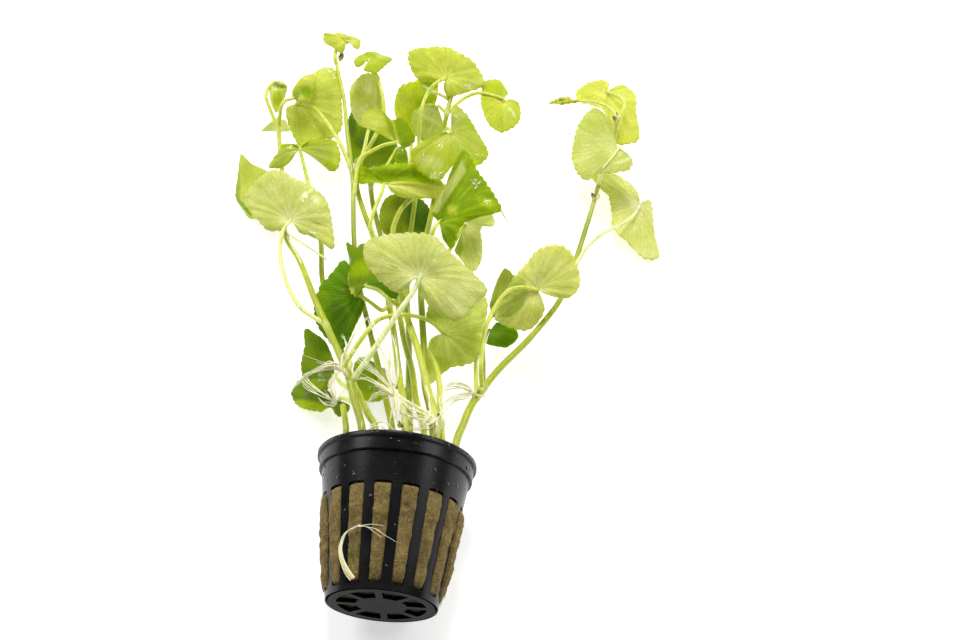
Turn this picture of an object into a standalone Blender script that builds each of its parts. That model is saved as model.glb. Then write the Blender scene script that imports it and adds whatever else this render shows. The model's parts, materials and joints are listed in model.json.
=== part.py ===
"""Brazilian pennywort in a small net pot, lying on its side.

Lengths are in millimetres here, and MM turns them into Blender's metres. The table is z = 0, +Y runs from the
pot's base to the leaves, and the plant is placed at the end so that its origin is below the middle of its footprint.

The stems and leaves are placed by eye from a photograph: a Spot is a pixel that was read there and the height above
the table chosen for it. The camera's place, which the pot's known size gives, turns each Spot into a point.
"""

import math
from typing import NamedTuple

import bmesh
import bpy
import numpy as np
from mathutils import Matrix, Vector

MM = 0.001
GAP = 0.3
WELD_DISTANCE = 0.00001

# The photograph's camera, and the middle of the picture in pixels
CAMERA_PLACE = (30.7, -209.9, 443.9)
CAMERA_DIPS = math.radians(53)
FOCAL_LENGTH_PIXELS = 1500
PICTURE_MIDDLE = (480, 320)

# The net pot
POT_HEIGHT = 48.7
RIM_RADIUS = 26.0
COLLAR_RADIUS = 25.1
BODY_TOP_RADIUS = 24.0
BASE_RADIUS = 17.7
LIP_HEIGHT = 1.8
LIP_WIDTH = 2.0
LIP_EDGE = 0.3
COLLAR_HEIGHT = 6.0
COLLAR_TAPER = 0.2
MOUTH_FLARE = 0.4
WALL = 1.1
ROUND_SIDES = 32
POT_YAW = math.radians(4.5)
SLOTS = 16
SLOT_TOP = 33.2
SLOT_BOTTOM = 1.9
RIB_WIDTH = 3.2
RIB_TURN = math.radians(7.8)
BASE_HOLES = 8
BASE_HOLE_RADII = (8.1, 14.2)
SPOKE_WIDTH = 2.2
HOLE_STEPS = 3

# The blocks that cut the slots and fill them with rockwool: where they start inside the pot, and how far a cutter
# stands out of the wall and below the base
BLOCK_INNER_RADIUS = 11.7
CUTTER_EXCESS = 4.0

# The rockwool plug, and how far it bulges out through each slot: from the pot's left side over its upper side to
# its right side, and back below, where the table keeps it flat
PLUG_TOP = 44.0
PLUG_BULGES = (1.4, 1.0, 0.6, 0.4, 0.4, 0.7, 1.2, 1.8, 1.6, 0.8, 0.3, 0.2, 0.2, 0.3, 0.9, 1.5)
PAD_BEVEL = 0.9

# The leaves and stems
BLADE_THICKNESS = 0.6
BLADE_SECTORS = 10
BLADE_RINGS = 2
STALK_RADIUS = 0.8
STALK_TAPER = (1.1, 0.8)
STALK_LEAD = 1.2
STALK_IN_BLADE = 2.0
ROUTE_STEPS = 8
TUBE_TOLERANCE = 0.7
NODE_GAP = 0.9
CAP_ANGLE = math.radians(70)
FLAT_ANGLE = math.radians(4)

# The roots and buds
ROOT_RADIUS = 0.45
ROOT_TAPER = (1.0, 0.7)
KNOT_SIZE = 1.6
LOOP_RADII = (0.7, 0.6)
TIP_BUD_RADII = (1.2, 1.6, 1.0)
RUNNER_BUD_RADII = (0.7, 0.7)


class Spot(NamedTuple):
    u: float
    v: float
    height: float


class Stem(NamedTuple):
    name: str
    mouth: tuple
    radii: tuple
    spots: list


class Leaf(NamedTuple):
    name: str
    hub: Spot
    lean: tuple
    margin: list
    stalk: list
    grows_from: tuple
    cup: float = 1.0
    stalk_radius: float = STALK_RADIUS


class Root(NamedTuple):
    name: str
    start: Spot
    strands: list
    radius: float = ROOT_RADIUS


# A stem leaves the pot's mouth at (across, up) from the pot's axis, and then runs through its spots.
STEMS = [
    Stem("stem_left", (-11.5, 10.5), (1.35, 0.8), [
        Spot(362, 430, 39), Spot(353, 395, 38), Spot(347, 372, 37), Spot(333, 340, 36), Spot(315, 300, 34),
        Spot(300, 262, 31), Spot(286, 237, 27), Spot(281, 205, 24), Spot(282, 172, 23), Spot(280, 150, 22),
        Spot(278, 119, 21)]),
    Stem("stem_second", (-6.5, 8), (1.2, 0.9), [
        Spot(375, 428, 34), Spot(368, 414, 33), Spot(352, 380, 28), Spot(338, 340, 20), Spot(323, 285, 19),
        Spot(321, 243, 20), Spot(316, 215, 21)]),
    Stem("stem_tip", (-1.5, 5), (1.2, 0.7), [
        Spot(392, 430, 31), Spot(386, 400, 27), Spot(372, 340, 21), Spot(358, 280, 18), Spot(354, 240, 21),
        Spot(353, 187, 25), Spot(351, 165, 27), Spot(347, 130, 30), Spot(344, 100, 32), Spot(340, 80, 33),
        Spot(337, 66, 33)]),
    Stem("stem_fourth", (3, 8), (1.25, 0.9), [
        Spot(405, 430, 33), Spot(403, 400, 31), Spot(399, 375, 28), Spot(392, 320, 22), Spot(382, 270, 18),
        Spot(373, 237, 17), Spot(365, 215, 17), Spot(357, 188, 17), Spot(357, 160, 17)]),
    Stem("stem_fifth", (8, 0), (1.2, 0.9), [
        Spot(424, 430, 26), Spot(416, 400, 23), Spot(412, 370, 20), Spot(404, 340, 17), Spot(395, 290, 12),
        Spot(381, 237, 11), Spot(373, 205, 11), Spot(370, 180, 12)]),
    Stem("stem_pale", (12, 12), (1.3, 0.9), [
        Spot(437, 425, 39), Spot(428, 390, 39), Spot(418, 350, 38), Spot(405, 310, 35), Spot(398, 270, 30),
        Spot(393, 234, 24), Spot(396, 220, 21), Spot(402, 208, 19), Spot(412, 198, 17)]),
    Stem("stem_inner_right", (13, 5), (1.25, 0.9), [
        Spot(431, 415, 32), Spot(425, 385, 33), Spot(424, 350, 33), Spot(421, 290, 30), Spot(424, 250, 26),
        Spot(432, 210, 20), Spot(439, 170, 18), Spot(442, 140, 24), Spot(446, 118, 29), Spot(450, 101, 31),
        Spot(452, 94, 31.3)]),
    Stem("stem_back", (5, -5), (1.2, 0.9), [
        Spot(409, 400, 15), Spot(409, 340, 11), Spot(407, 290, 9), Spot(410, 240, 9), Spot(415, 200, 10),
        Spot(418, 170, 12), Spot(420, 156, 14)]),
    Stem("stem_right", (17.5, 3), (1.35, 0.8), [
        Spot(457, 440, 29), Spot(463, 425, 28), Spot(470, 408, 27), Spot(480, 393, 25), Spot(500, 368, 22),
        Spot(530, 338, 18), Spot(560, 300, 14), Spot(575, 262, 12), Spot(590, 215, 11), Spot(595, 198, 11),
        Spot(599, 183, 11), Spot(604, 166, 12), Spot(609, 152, 14), Spot(614, 139, 17), Spot(616, 126, 21),
        Spot(616, 114, 23)]),
    Stem("stem_base_left", (-16, 7), (1.1, 1.0), [Spot(346, 430, 35), Spot(343, 406, 33)]),
    Stem("stem_arched", (16, 9), (1.1, 0.8), [
        Spot(440, 408, 37), Spot(440, 390, 36), Spot(437, 370, 34), Spot(432, 358, 32), Spot(427, 351, 30),
        Spot(420, 347, 28)]),
]

# A leaf's hub is where its stalk meets the blade. Its lean is how steeply the blade tips, and towards which side:
# 0 is away from the pot, 90 to the right. A third number in the margin is how far that point stands off the blade's
# plane. grows_from is a stem and a spot along it, where whole numbers are the stem's own spots.
LEAVES = [
    Leaf("leaf_tip", Spot(347, 42, 36), (5, 180),
         [(354, 49), (359, 51), (361, 45), (360, 40), (350, 36), (341, 33), (333, 35), (324, 36), (324, 44),
          (333, 49), (341, 54), (345, 49)],
         [Spot(340, 43, 37), Spot(334, 50, 36), Spot(335, 58, 35)], ("stem_tip", 11)),
    Leaf("leaf_tip_small", Spot(370, 61, 33), (15, 0),
         [(363, 65), (357, 67), (353, 62), (358, 56), (367, 52), (375, 52), (383, 55), (391, 57), (392, 60),
          (386, 66), (376, 73), (363, 71)],
         [Spot(377, 76, 31), Spot(383, 98, 29), Spot(383, 118, 25), Spot(372, 142, 21)], ("stem_fourth", 8.7)),
    Leaf("leaf_upper_left", Spot(298, 104, 27), (18, 180),
         [(292, 96), (302, 80), (312, 73), (327, 66), (338, 72), (344, 86), (342, 97), (343, 125), (335, 138),
          (318, 141), (302, 147), (293, 137), (286, 118), (286, 108)],
         [Spot(312, 107, 30), Spot(326, 121, 30), Spot(341, 145, 29)], ("stem_tip", 6.8)),
    Leaf("leaf_rolled_young", Spot(292, 99, 35), (5, 90),
         [(292, 90), (299, 80), (306, 75), (314, 74), (317, 78), (314, 90), (311, 101), (300, 104)],
         [Spot(285, 101, 33), Spot(281, 108, 27)], ("stem_left", 10.7)),
    Leaf("leaf_left_middle", Spot(300, 149, 30), (10, 180),
         [(330, 171), (338, 169), (341, 155), (335, 140), (320, 139), (308, 141), (300, 143, -6), (292, 144),
          (283, 144), (277, 153), (268, 167), (284, 167), (293, 159)],
         [Spot(303, 162, 28), Spot(307, 178, 25), Spot(311, 195, 23)], ("stem_second", 7)),
    Leaf("leaf_curled_young", Spot(276, 83, 28), (25, 180),
         [(269, 89), (270, 101), (276, 113), (282, 104), (286, 95), (288, 87), (284, 81)],
         [Spot(269, 87, 28), Spot(266, 97, 27), Spot(270, 109, 25)], ("stem_left", 10.6), 1.5),
    Leaf("leaf_left_sliver", Spot(277, 121, 15), (8, 0),
         [(272, 121), (261, 131), (270, 131), (280, 132), (290, 130), (286, 120)],
         [Spot(276, 126, 16)], ("stem_left", 10.3), 0.5, 0.6),
    Leaf("leaf_left_big", Spot(290, 220, 36), (12, 180),
         [(283, 231), (268, 231), (258, 222), (246, 203), (246, 191), (264, 173), (281, 170), (293, 177),
          (310, 184), (327, 200), (333, 225), (334, 249), (318, 240), (300, 234)],
         [Spot(283, 231, 37), Spot(280, 250, 36), Spot(284, 275, 35), Spot(298, 305, 34)],
         ("stem_left", 4.4)),
    Leaf("leaf_left_behind", Spot(272, 203, 17), (43, 270),
         [(262, 217), (250, 219), (243, 211), (236, 198), (237, 180), (239, 160), (242, 154), (251, 163),
          (264, 169), (278, 178), (284, 192)],
         [Spot(278, 211, 19)], ("stem_left", 7.0), 0.5),
    Leaf("leaf_top_middle", Spot(372, 119, 16.8), (25, 180),
         [(359, 126), (351, 112), (349, 97), (350, 85), (361, 74), (372, 72), (379, 74), (383, 92), (384, 108),
          (380, 121)],
         [Spot(368, 132, 16), Spot(364, 150, 16)], ("stem_fourth", 8.4)),
    Leaf("leaf_middle", Spot(396, 142, 31), (10, 180),
         [(360, 130), (361, 119), (369, 111), (381, 110), (391, 119, 2), (400, 118, -3),
          (408, 126, -5), (416, 140, -6), (410, 148, -5), (403, 149, -3)],
         [Spot(384, 145, 31), Spot(370, 152, 30), Spot(359, 161, 29)], ("stem_tip", 5.8)),
    Leaf("leaf_middle_back", Spot(398, 149, 12), (10, 180),
         [(393, 155), (395, 162), (402, 166), (408, 165), (408, 156), (406, 149), (403, 145)],
         [Spot(390, 160, 12), Spot(382, 172, 12)], ("stem_fifth", 7.9), 0.5, 0.6),
    Leaf("leaf_back_dark", Spot(374, 158, 5), (8, 0),
         [(362, 160), (351, 150), (347, 132), (349, 112), (360, 104), (376, 112), (390, 128), (396, 145),
          (390, 160)],
         [Spot(374, 168, 8)], ("stem_fifth", 7.6), 0.5),
    Leaf("leaf_behind_stems", Spot(404, 240, 3.6), (3, 270),
         [(390, 238), (381, 230), (379, 214), (385, 199), (397, 193), (412, 196), (424, 201), (432, 213),
          (430, 228), (419, 238)],
         [Spot(400, 262, 6.2)], ("stem_fifth", 5.3), 0.5),
    Leaf("leaf_top_right", Spot(446, 78, 35), (15, 180),
         [(438, 84), (428, 81), (417, 79), (408, 63), (409, 51), (422, 47), (444, 46), (460, 53), (474, 61),
          (485, 80), (480, 89), (463, 94), (448, 97), (443, 88)],
         [Spot(436, 83, 37), Spot(427, 94, 35), Spot(421, 112, 33), Spot(419, 137, 25)], ("stem_back", 7)),
    Leaf("leaf_top_centre", Spot(412, 139, 12), (35, 180),
         [(404, 133), (396, 118), (394, 103), (399, 87), (408, 82), (419, 79), (429, 73), (438, 79), (438, 95),
          (433, 112), (426, 130)],
         [Spot(411, 155, 13), Spot(411, 178, 15)], ("stem_pale", 9)),
    Leaf("leaf_centre_upper", Spot(438, 107, 26.7), (25, 180),
         [(430, 103), (421, 106), (413, 112), (411, 122), (414, 133), (421, 141), (432, 141), (440, 135),
          (443, 122)],
         [Spot(442, 109, 28)], ("stem_inner_right", 9.3), 0.5),
    Leaf("leaf_right_small", Spot(503, 101, 31), (10, 90),
         [(509, 94), (504, 84), (496, 79), (483, 82), (480, 93), (481, 107), (487, 122), (499, 132), (511, 130),
          (520, 121), (521, 106), (516, 101)],
         [Spot(494, 96, 33), Spot(478, 93, 33), Spot(463, 99, 32)], ("stem_inner_right", 9.2)),
    Leaf("leaf_right_upper", Spot(451, 133, 34), (8, 180),
         [(438, 134), (426, 138), (412, 147), (412, 161), (423, 172), (437, 180), (447, 172), (455, 164),
          (475, 166), (489, 154), (480, 133), (468, 113), (456, 104), (451, 112)],
         [Spot(448, 128, 33)], ("stem_inner_right", 8.2)),
    Leaf("leaf_folded", Spot(385, 184, 23), (12, 180),
         [(361, 186), (353, 178), (357, 165), (369, 169), (386, 166), (404, 165), (422, 167),
          (436, 178), (448, 187, 3), (441, 198), (424, 201), (404, 200), (391, 193)],
         [Spot(382, 192, 25), Spot(375, 208, 24), Spot(370, 225, 22)], ("stem_fourth", 5.7), 1.5),
    Leaf("leaf_right_bright", Spot(439, 222, 33), (15, 180),
         [(443, 240), (453, 250), (462, 228), (479, 219), (501, 213), (497, 200), (480, 173), (465, 150),
          (453, 167, 1), (444, 188, 3), (434, 203, 2), (431, 216)],
         [Spot(434, 229, 33), Spot(431, 238, 31)], ("stem_inner_right", 4.6)),
    Leaf("leaf_right_low", Spot(464, 226, 23), (20, 90),
         [(454, 251), (463, 263), (473, 272), (481, 262), (483, 245), (482, 228), (494, 226),
          (495, 218), (487, 211), (472, 216)],
         [Spot(457, 238, 23), Spot(446, 256, 23)], ("stem_inner_right", 3.9)),
    Leaf("leaf_front", Spot(420, 277, 47), (10, 180),
         [(408, 287), (397, 293), (382, 283), (366, 265), (363, 249), (370, 239), (400, 232), (431, 234),
          (453, 254), (487, 287), (478, 303), (461, 320), (447, 319), (431, 308), (422, 294)],
         [Spot(413, 292, 46), Spot(397, 314, 45), Spot(375, 348, 42)], ("stem_left", 2.5), 2.0, 1.0),
    Leaf("leaf_front_under", Spot(443, 333, 27), (20, 180),
         [(429, 340), (426, 356), (428, 385), (440, 376), (452, 368), (466, 366), (480, 358), (483, 335),
          (488, 302), (472, 291), (448, 292), (430, 303), (425, 318)],
         [Spot(431, 322, 37), Spot(415, 316, 40), Spot(398, 315, 41), Spot(378, 320, 40), Spot(362, 338, 39)],
         ("stem_left", 3.2)),
    Leaf("leaf_centre_left_top", Spot(366, 286, 35), (15, 0),
         [(357, 297), (350, 292), (347, 278), (349, 262), (346, 242), (355, 245), (364, 240), (373, 255),
          (378, 276), (388, 281), (399, 291), (393, 297), (381, 293), (374, 288)],
         [Spot(378, 290, 37), Spot(390, 300, 38)], ("stem_pale", 4.0)),
    Leaf("leaf_centre_left", Spot(360, 297, 28), (12, 180),
         [(366, 306), (356, 326), (347, 346), (338, 350), (325, 338), (316, 325), (314, 307), (320, 288),
          (332, 275), (343, 262), (352, 268), (362, 282)],
         [Spot(370, 302, 26), Spot(381, 310, 24)], ("stem_fourth", 4.2)),
    Leaf("leaf_base_left_upper", Spot(335, 376, 20), (18, 270),
         [(334, 360), (326, 342), (315, 333), (305, 329), (304, 345), (301, 360), (302, 376), (309, 388),
          (322, 392), (331, 388)],
         [Spot(342, 384, 25)], ("stem_second", 2.6)),
    Leaf("leaf_base_left", Spot(338, 401, 12.9), (34.7, 270),
         [(329, 391), (316, 383), (303, 379), (294, 386), (291, 396), (299, 407), (318, 412), (330, 408),
          (338, 417), (347, 414), (350, 405)],
         [Spot(344, 398, 19)], ("stem_second", 2.1)),
    Leaf("leaf_base_dark", Spot(383, 371, 9), (25, 270),
         [(374, 362), (362, 357), (354, 364), (353, 378), (356, 392), (366, 401), (379, 402), (387, 394),
          (388, 380)],
         [Spot(387, 382, 15)], ("stem_back", 1.1)),
    Leaf("leaf_runner_first", Spot(537, 289, 25), (32, 180),
         [(542, 293), (553, 297), (568, 299), (579, 289), (580, 272), (570, 250), (555, 244), (537, 249),
          (528, 260), (514, 276), (500, 300), (494, 319), (511, 329), (528, 331), (540, 321), (545, 310),
          (542, 298)],
         [Spot(523, 287, 28), Spot(508, 291, 29), Spot(496, 305, 30), Spot(486, 328, 31), Spot(481, 362, 31)],
         ("stem_right", 4.1)),
    Leaf("leaf_runner_behind", Spot(492, 317, 13), (14, 180),
         [(489, 305), (496, 283), (505, 268), (515, 275), (524, 279), (527, 291), (523, 306), (511, 316),
          (500, 320)],
         [Spot(484, 330, 14), Spot(476, 358, 18)], ("stem_right", 3.8)),
    Leaf("leaf_runner_low", Spot(490, 331, 10), (10, 180),
         [(486, 344), (497, 347), (508, 347), (517, 340), (518, 332), (508, 325), (497, 322)],
         [Spot(484, 345, 12), Spot(484, 365, 17)], ("stem_right", 4.3), 0.5, 0.6),
    Leaf("leaf_runner_top", Spot(607, 94, 17), (6, 180),
         [(610, 84), (601, 80), (585, 84), (575, 94), (578, 103), (590, 107), (603, 112), (609, 127),
          (616, 146), (636, 144), (640, 134), (637, 112), (636, 97), (623, 86), (612, 89)],
         [Spot(615, 95, 20), Spot(622, 99, 22), Spot(624, 107, 24)], ("stem_right", 14.7)),
    Leaf("leaf_runner_upper", Spot(618, 149, 21), (6, 270),
         [(609, 119), (600, 109), (590, 109), (577, 126), (573, 141), (571, 158), (577, 174),
          (587, 180), (599, 174), (612, 174), (629, 170), (633, 160), (624, 153)],
         [Spot(611, 159, 22), Spot(602, 171, 20)], ("stem_right", 10.7)),
    Leaf("leaf_runner_lower", Spot(639, 206, 3.5), (5, 120),
         [(640, 198), (634, 187), (614, 176), (590, 177), (599, 191), (607, 200), (610, 216), (612, 231),
          (626, 243), (644, 260, -1), (659, 258, -1), (655, 235), (653, 210), (651, 201), (644, 202)],
         [Spot(634, 215, 7), Spot(622, 224, 9), Spot(604, 233, 12), Spot(588, 246, 15), Spot(581, 264, 16)],
         ("stem_right", 6.6)),
]

# Each bundle of roots starts at a stem's node. Its strands run from there.
ROOTS = [
    Root("roots_left", Spot(336, 403, 31), [
        [Spot(325, 395, 31), Spot(313, 387, 31), Spot(303, 378, 31)],
        [Spot(330, 385, 32), Spot(334, 376, 33), Spot(340, 368, 33)]], 0.7),
    Root("roots_left_upper", Spot(341, 370, 42), [
        [Spot(328, 369, 42), Spot(312, 374, 41), Spot(292, 389, 38)],
        [Spot(331, 363, 43), Spot(316, 371, 42), Spot(303, 377, 40)]]),
    Root("roots_centre", Spot(394, 395, 42), [
        [Spot(385, 380, 43), Spot(370, 366, 44), Spot(345, 342, 45)],
        [Spot(386, 362, 44), Spot(377, 340, 45), Spot(368, 319, 45)],
        [Spot(377, 384, 43), Spot(361, 377, 43)],
        [Spot(380, 393, 42), Spot(368, 402, 41)],
        [Spot(396, 408, 42), Spot(398, 424, 42)]]),
    Root("roots_mouth", Spot(434, 423, 44), [
        [Spot(425, 415, 44), Spot(410, 408, 43), Spot(399, 399, 42)],
        [Spot(420, 420, 44), Spot(404, 414, 43)]], 0.7),
    Root("roots_runner", Spot(474, 393, 29), [
        [Spot(463, 388, 30), Spot(452, 386, 31), Spot(446, 388, 31)],
        [Spot(460, 396, 29), Spot(446, 404, 29)]]),
]

# The loop of root that came out through a slot, as (degrees round from straight up, height up the pot, distance
# outside the pot's wall)
LOOP_ROUTE = [(-21.5, 19, 1.7), (-26, 17.4, 2.0), (-34, 13, 2.2), (-36, 8.5, 2.2), (-31.5, 5, 2.1), (-25, 2.6, 1.9)]

# The tip's bud, and the line of young buds at the runner's end
TIP_BUD = Spot(341, 57, 33)
RUNNER_BUDS = [Spot(549, 103, 18), Spot(556, 100, 18), Spot(575, 101, 20), Spot(590, 101, 22), Spot(603, 104, 24)]

MATERIALS = {
    "net_pot": ((0.012, 0.012, 0.013), 0.35),
    "rockwool": ((0.19, 0.13, 0.045), 0.95),
    "stem": ((0.30, 0.42, 0.04), 0.4),
    "leaf": ((0.36, 0.50, 0.05), 0.45),
    "bud": ((0.35, 0.33, 0.04), 0.6),
    "root": ((0.75, 0.68, 0.45), 0.6),
}


def sight_line(u, v):
    """The direction from the camera through a pixel, scaled to fall one millimetre."""
    across = (u - PICTURE_MIDDLE[0]) / FOCAL_LENGTH_PIXELS
    down = (v - PICTURE_MIDDLE[1]) / FOCAL_LENGTH_PIXELS
    forward = math.cos(CAMERA_DIPS) - down * math.sin(CAMERA_DIPS)
    fall = math.sin(CAMERA_DIPS) + down * math.cos(CAMERA_DIPS)
    return Vector((across / fall, forward / fall, -1))


def place(spot):
    """The point that a spot stands for."""
    u, v, height = spot
    return Vector(CAMERA_PLACE) + sight_line(u, v) * (CAMERA_PLACE[2] - height)


def on_plane(u, v, lift, middle, normal):
    """Where the sight line through a pixel meets a plane, moved along that line until it is higher by lift."""
    start = Vector(CAMERA_PLACE)
    line = sight_line(u, v)
    fall = normal.dot(middle - start) / normal.dot(line)
    return start + line * (fall - lift)


def smooth_route(points):
    """A Catmull-Rom curve through the points."""
    ends = [2 * points[0] - points[1]] + list(points) + [2 * points[-1] - points[-2]]
    route = []
    for a, b, c, d in zip(ends, ends[1:], ends[2:], ends[3:]):
        for step in range(ROUTE_STEPS):
            t = step / ROUTE_STEPS
            route.append(0.5 * (2 * b + (c - a) * t + (2 * a - 5 * b + 4 * c - d) * t ** 2
                                + (3 * b - a - 3 * c + d) * t ** 3))
    return route + [points[-1]]


def evenly(route, count):
    """Count points spread evenly along a route, with its ends."""
    lengths = lengths_along(route)
    wanted = np.linspace(0, lengths[-1], count)
    return [Vector([np.interp(w, lengths, [p[axis] for p in route]) for axis in range(3)]) for w in wanted]


def lengths_along(route):
    return np.cumsum([0.0] + [(b - a).length for a, b in zip(route, route[1:])])


def thinned(route, tolerance):
    """The route with only the points that keep it within a tolerance of its curve."""
    if len(route) < 3:
        return route
    chord = route[-1] - route[0]
    along = chord.normalized()
    strays = [((p - route[0]) - along * (p - route[0]).dot(along)).length for p in route[1:-1]]
    worst = max(range(len(strays)), key=strays.__getitem__) + 1
    if strays[worst - 1] < tolerance:
        return [route[0], route[-1]]
    return thinned(route[:worst + 1], tolerance)[:-1] + thinned(route[worst:], tolerance)


def material(kind):
    """The material of one kind of piece, made once."""
    found = bpy.data.materials.get(kind)
    if found:
        return found
    colour, roughness = MATERIALS[kind]
    made = bpy.data.materials.new(kind)
    made.use_nodes = True
    shader = made.node_tree.nodes["Principled BSDF"]
    shader.inputs["Base Color"].default_value = (*colour, 1)
    shader.inputs["Roughness"].default_value = roughness
    return made


def add_object(name, mesh, kind, collection):
    thing = bpy.data.objects.new(name, mesh)
    collection.objects.link(thing)
    if kind:
        mesh.materials.append(material(kind))
    return thing


def to_mesh(name, work):
    mesh = bpy.data.meshes.new(name)
    work.to_mesh(mesh)
    work.free()
    return mesh


def tube_mesh(name, route, radii):
    """A closed six-sided tube along a route, in metres, tapering from the first radius to the second."""
    points = thinned(route, TUBE_TOLERANCE)
    lengths = lengths_along(points)
    curve = bpy.data.curves.new(name, "CURVE")
    curve.dimensions = "3D"
    curve.bevel_depth = MM
    curve.bevel_resolution = 1
    curve.use_fill_caps = True
    spline = curve.splines.new("POLY")
    spline.points.add(len(points) - 1)
    for knot, point, length in zip(spline.points, points, lengths):
        knot.co = (*(point * MM), 1)
        knot.radius = radii[0] + (radii[1] - radii[0]) * length / lengths[-1]
    return welded(name, curve)


def welded(name, curve):
    """The mesh of a curve, with its caps joined to its sides."""
    guide = bpy.data.objects.new(name + "_route", curve)
    bpy.context.scene.collection.objects.link(guide)
    view = bpy.context.evaluated_depsgraph_get()
    mesh = bpy.data.meshes.new_from_object(guide.evaluated_get(view))
    work = bmesh.new()
    work.from_mesh(mesh)
    bmesh.ops.remove_doubles(work, verts=work.verts, dist=WELD_DISTANCE)
    bmesh.ops.recalc_face_normals(work, faces=work.faces)
    bpy.data.objects.remove(guide)
    mesh.name = name
    work.to_mesh(mesh)
    work.free()
    mesh.shade_smooth()
    mesh.set_sharp_from_angle(angle=CAP_ANGLE)
    return mesh


def join(thing, tool, operation, solver="EXACT"):
    """A Boolean between an object and a tool. A leaf's thin blade needs the MANIFOLD solver."""
    cut = thing.modifiers.new(operation.lower(), "BOOLEAN")
    cut.operation = operation
    cut.solver = solver
    cut.object = tool


def hidden_tool(name, mesh, cutters):
    tool = add_object(name, mesh, None, cutters)
    tool.hide_render = True
    tool.display_type = "WIRE"
    return tool


def pot_frame():
    """The pot's own frame, lying on the edges of its rim and its base: +Z along its axis, -Y to its upper side."""
    rise = math.asin((RIM_RADIUS - BASE_RADIUS) / math.hypot(POT_HEIGHT, RIM_RADIUS - BASE_RADIUS))
    axis = Vector((math.sin(POT_YAW) * math.cos(rise), math.cos(POT_YAW) * math.cos(rise), math.sin(rise)))
    right = Vector((math.cos(POT_YAW), -math.sin(POT_YAW), 0))
    down = axis.cross(right)
    frame = Matrix((right, down, axis)).transposed().to_4x4()
    frame.translation = Vector((0, 0, BASE_RADIUS * math.cos(rise)))
    return frame


def body_radius(height):
    """The outside of the pot's tapered body."""
    return BASE_RADIUS + (BODY_TOP_RADIUS - BASE_RADIUS) * height / (POT_HEIGHT - COLLAR_HEIGHT)


def sector_block(bottom, top):
    """A block across a radius, from its bottom's and top's (height, outer radius, width)."""
    work = bmesh.new()
    bmesh.ops.create_cube(work, size=2)
    for corner in work.verts:
        height, outer, width = top if corner.co.z > 0 else bottom
        radius = outer if corner.co.x > 0 else BLOCK_INNER_RADIUS
        corner.co = Vector((radius, width / 2 * corner.co.y, height)) * MM
    return work


def slot_turn(slot):
    """The direction of a slot's middle, round the pot's axis from its left side over its upper side."""
    return RIB_TURN - math.pi / 2 + (slot - SLOTS / 4 + 0.5) * 2 * math.pi / SLOTS


def slot_width(radius):
    return 2 * math.pi * radius / SLOTS - RIB_WIDTH


def slot_block(slot, bulge, inset):
    """A block that fills one slot, from well inside the wall to a distance outside it."""
    low = SLOT_BOTTOM + inset
    high = SLOT_TOP - inset
    radius_low = body_radius(low)
    radius_high = body_radius(high)
    ends = [(low, radius_low + bulge, slot_width(radius_low) - 2 * inset),
            (high, radius_high + bulge, slot_width(radius_high) - 2 * inset)]
    work = sector_block(*ends)
    bmesh.ops.rotate(work, verts=work.verts, matrix=Matrix.Rotation(slot_turn(slot), 3, "Z"))
    return work


def merged(blocks):
    """One mesh of several blocks that don't touch."""
    whole = bmesh.new()
    for block in blocks:
        part = to_mesh("block", block)
        whole.from_mesh(part)
        bpy.data.meshes.remove(part)
    return whole


def turned(name, profile, kind, collection):
    """A profile of (radius, height) that starts and ends on +Z and runs down its outer side, turned about +Z."""
    mesh = bpy.data.meshes.new(name)
    points = [(radius * MM, 0, height * MM) for radius, height in profile]
    mesh.from_pydata(points, [(i, i + 1) for i in range(len(points) - 1)], [])
    thing = add_object(name, mesh, kind, collection)
    screw = thing.modifiers.new("turn", "SCREW")
    screw.steps = ROUND_SIDES
    screw.render_steps = ROUND_SIDES
    screw.use_merge_vertices = True
    screw.merge_threshold = WELD_DISTANCE
    return thing


def base_hole(hole):
    """A block that cuts one opening of the base, between two spokes."""
    near, far = BASE_HOLE_RADII
    step = 2 * math.pi / BASE_HOLES
    work = bmesh.new()
    bmesh.ops.create_cube(work, size=2)
    across = [e for e in work.edges if e.verts[0].co.y * e.verts[1].co.y < 0]
    bmesh.ops.subdivide_edges(work, edges=across, cuts=HOLE_STEPS - 1)
    for corner in work.verts:
        radius = far if corner.co.x > 0 else near
        half_angle = step / 2 - math.asin(SPOKE_WIDTH / 2 / radius)
        angle = corner.co.y * half_angle + (hole + 0.5) * step
        height = CUTTER_EXCESS * corner.co.z
        corner.co = Vector((radius * math.cos(angle), radius * math.sin(angle), height)) * MM
    return work


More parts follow.
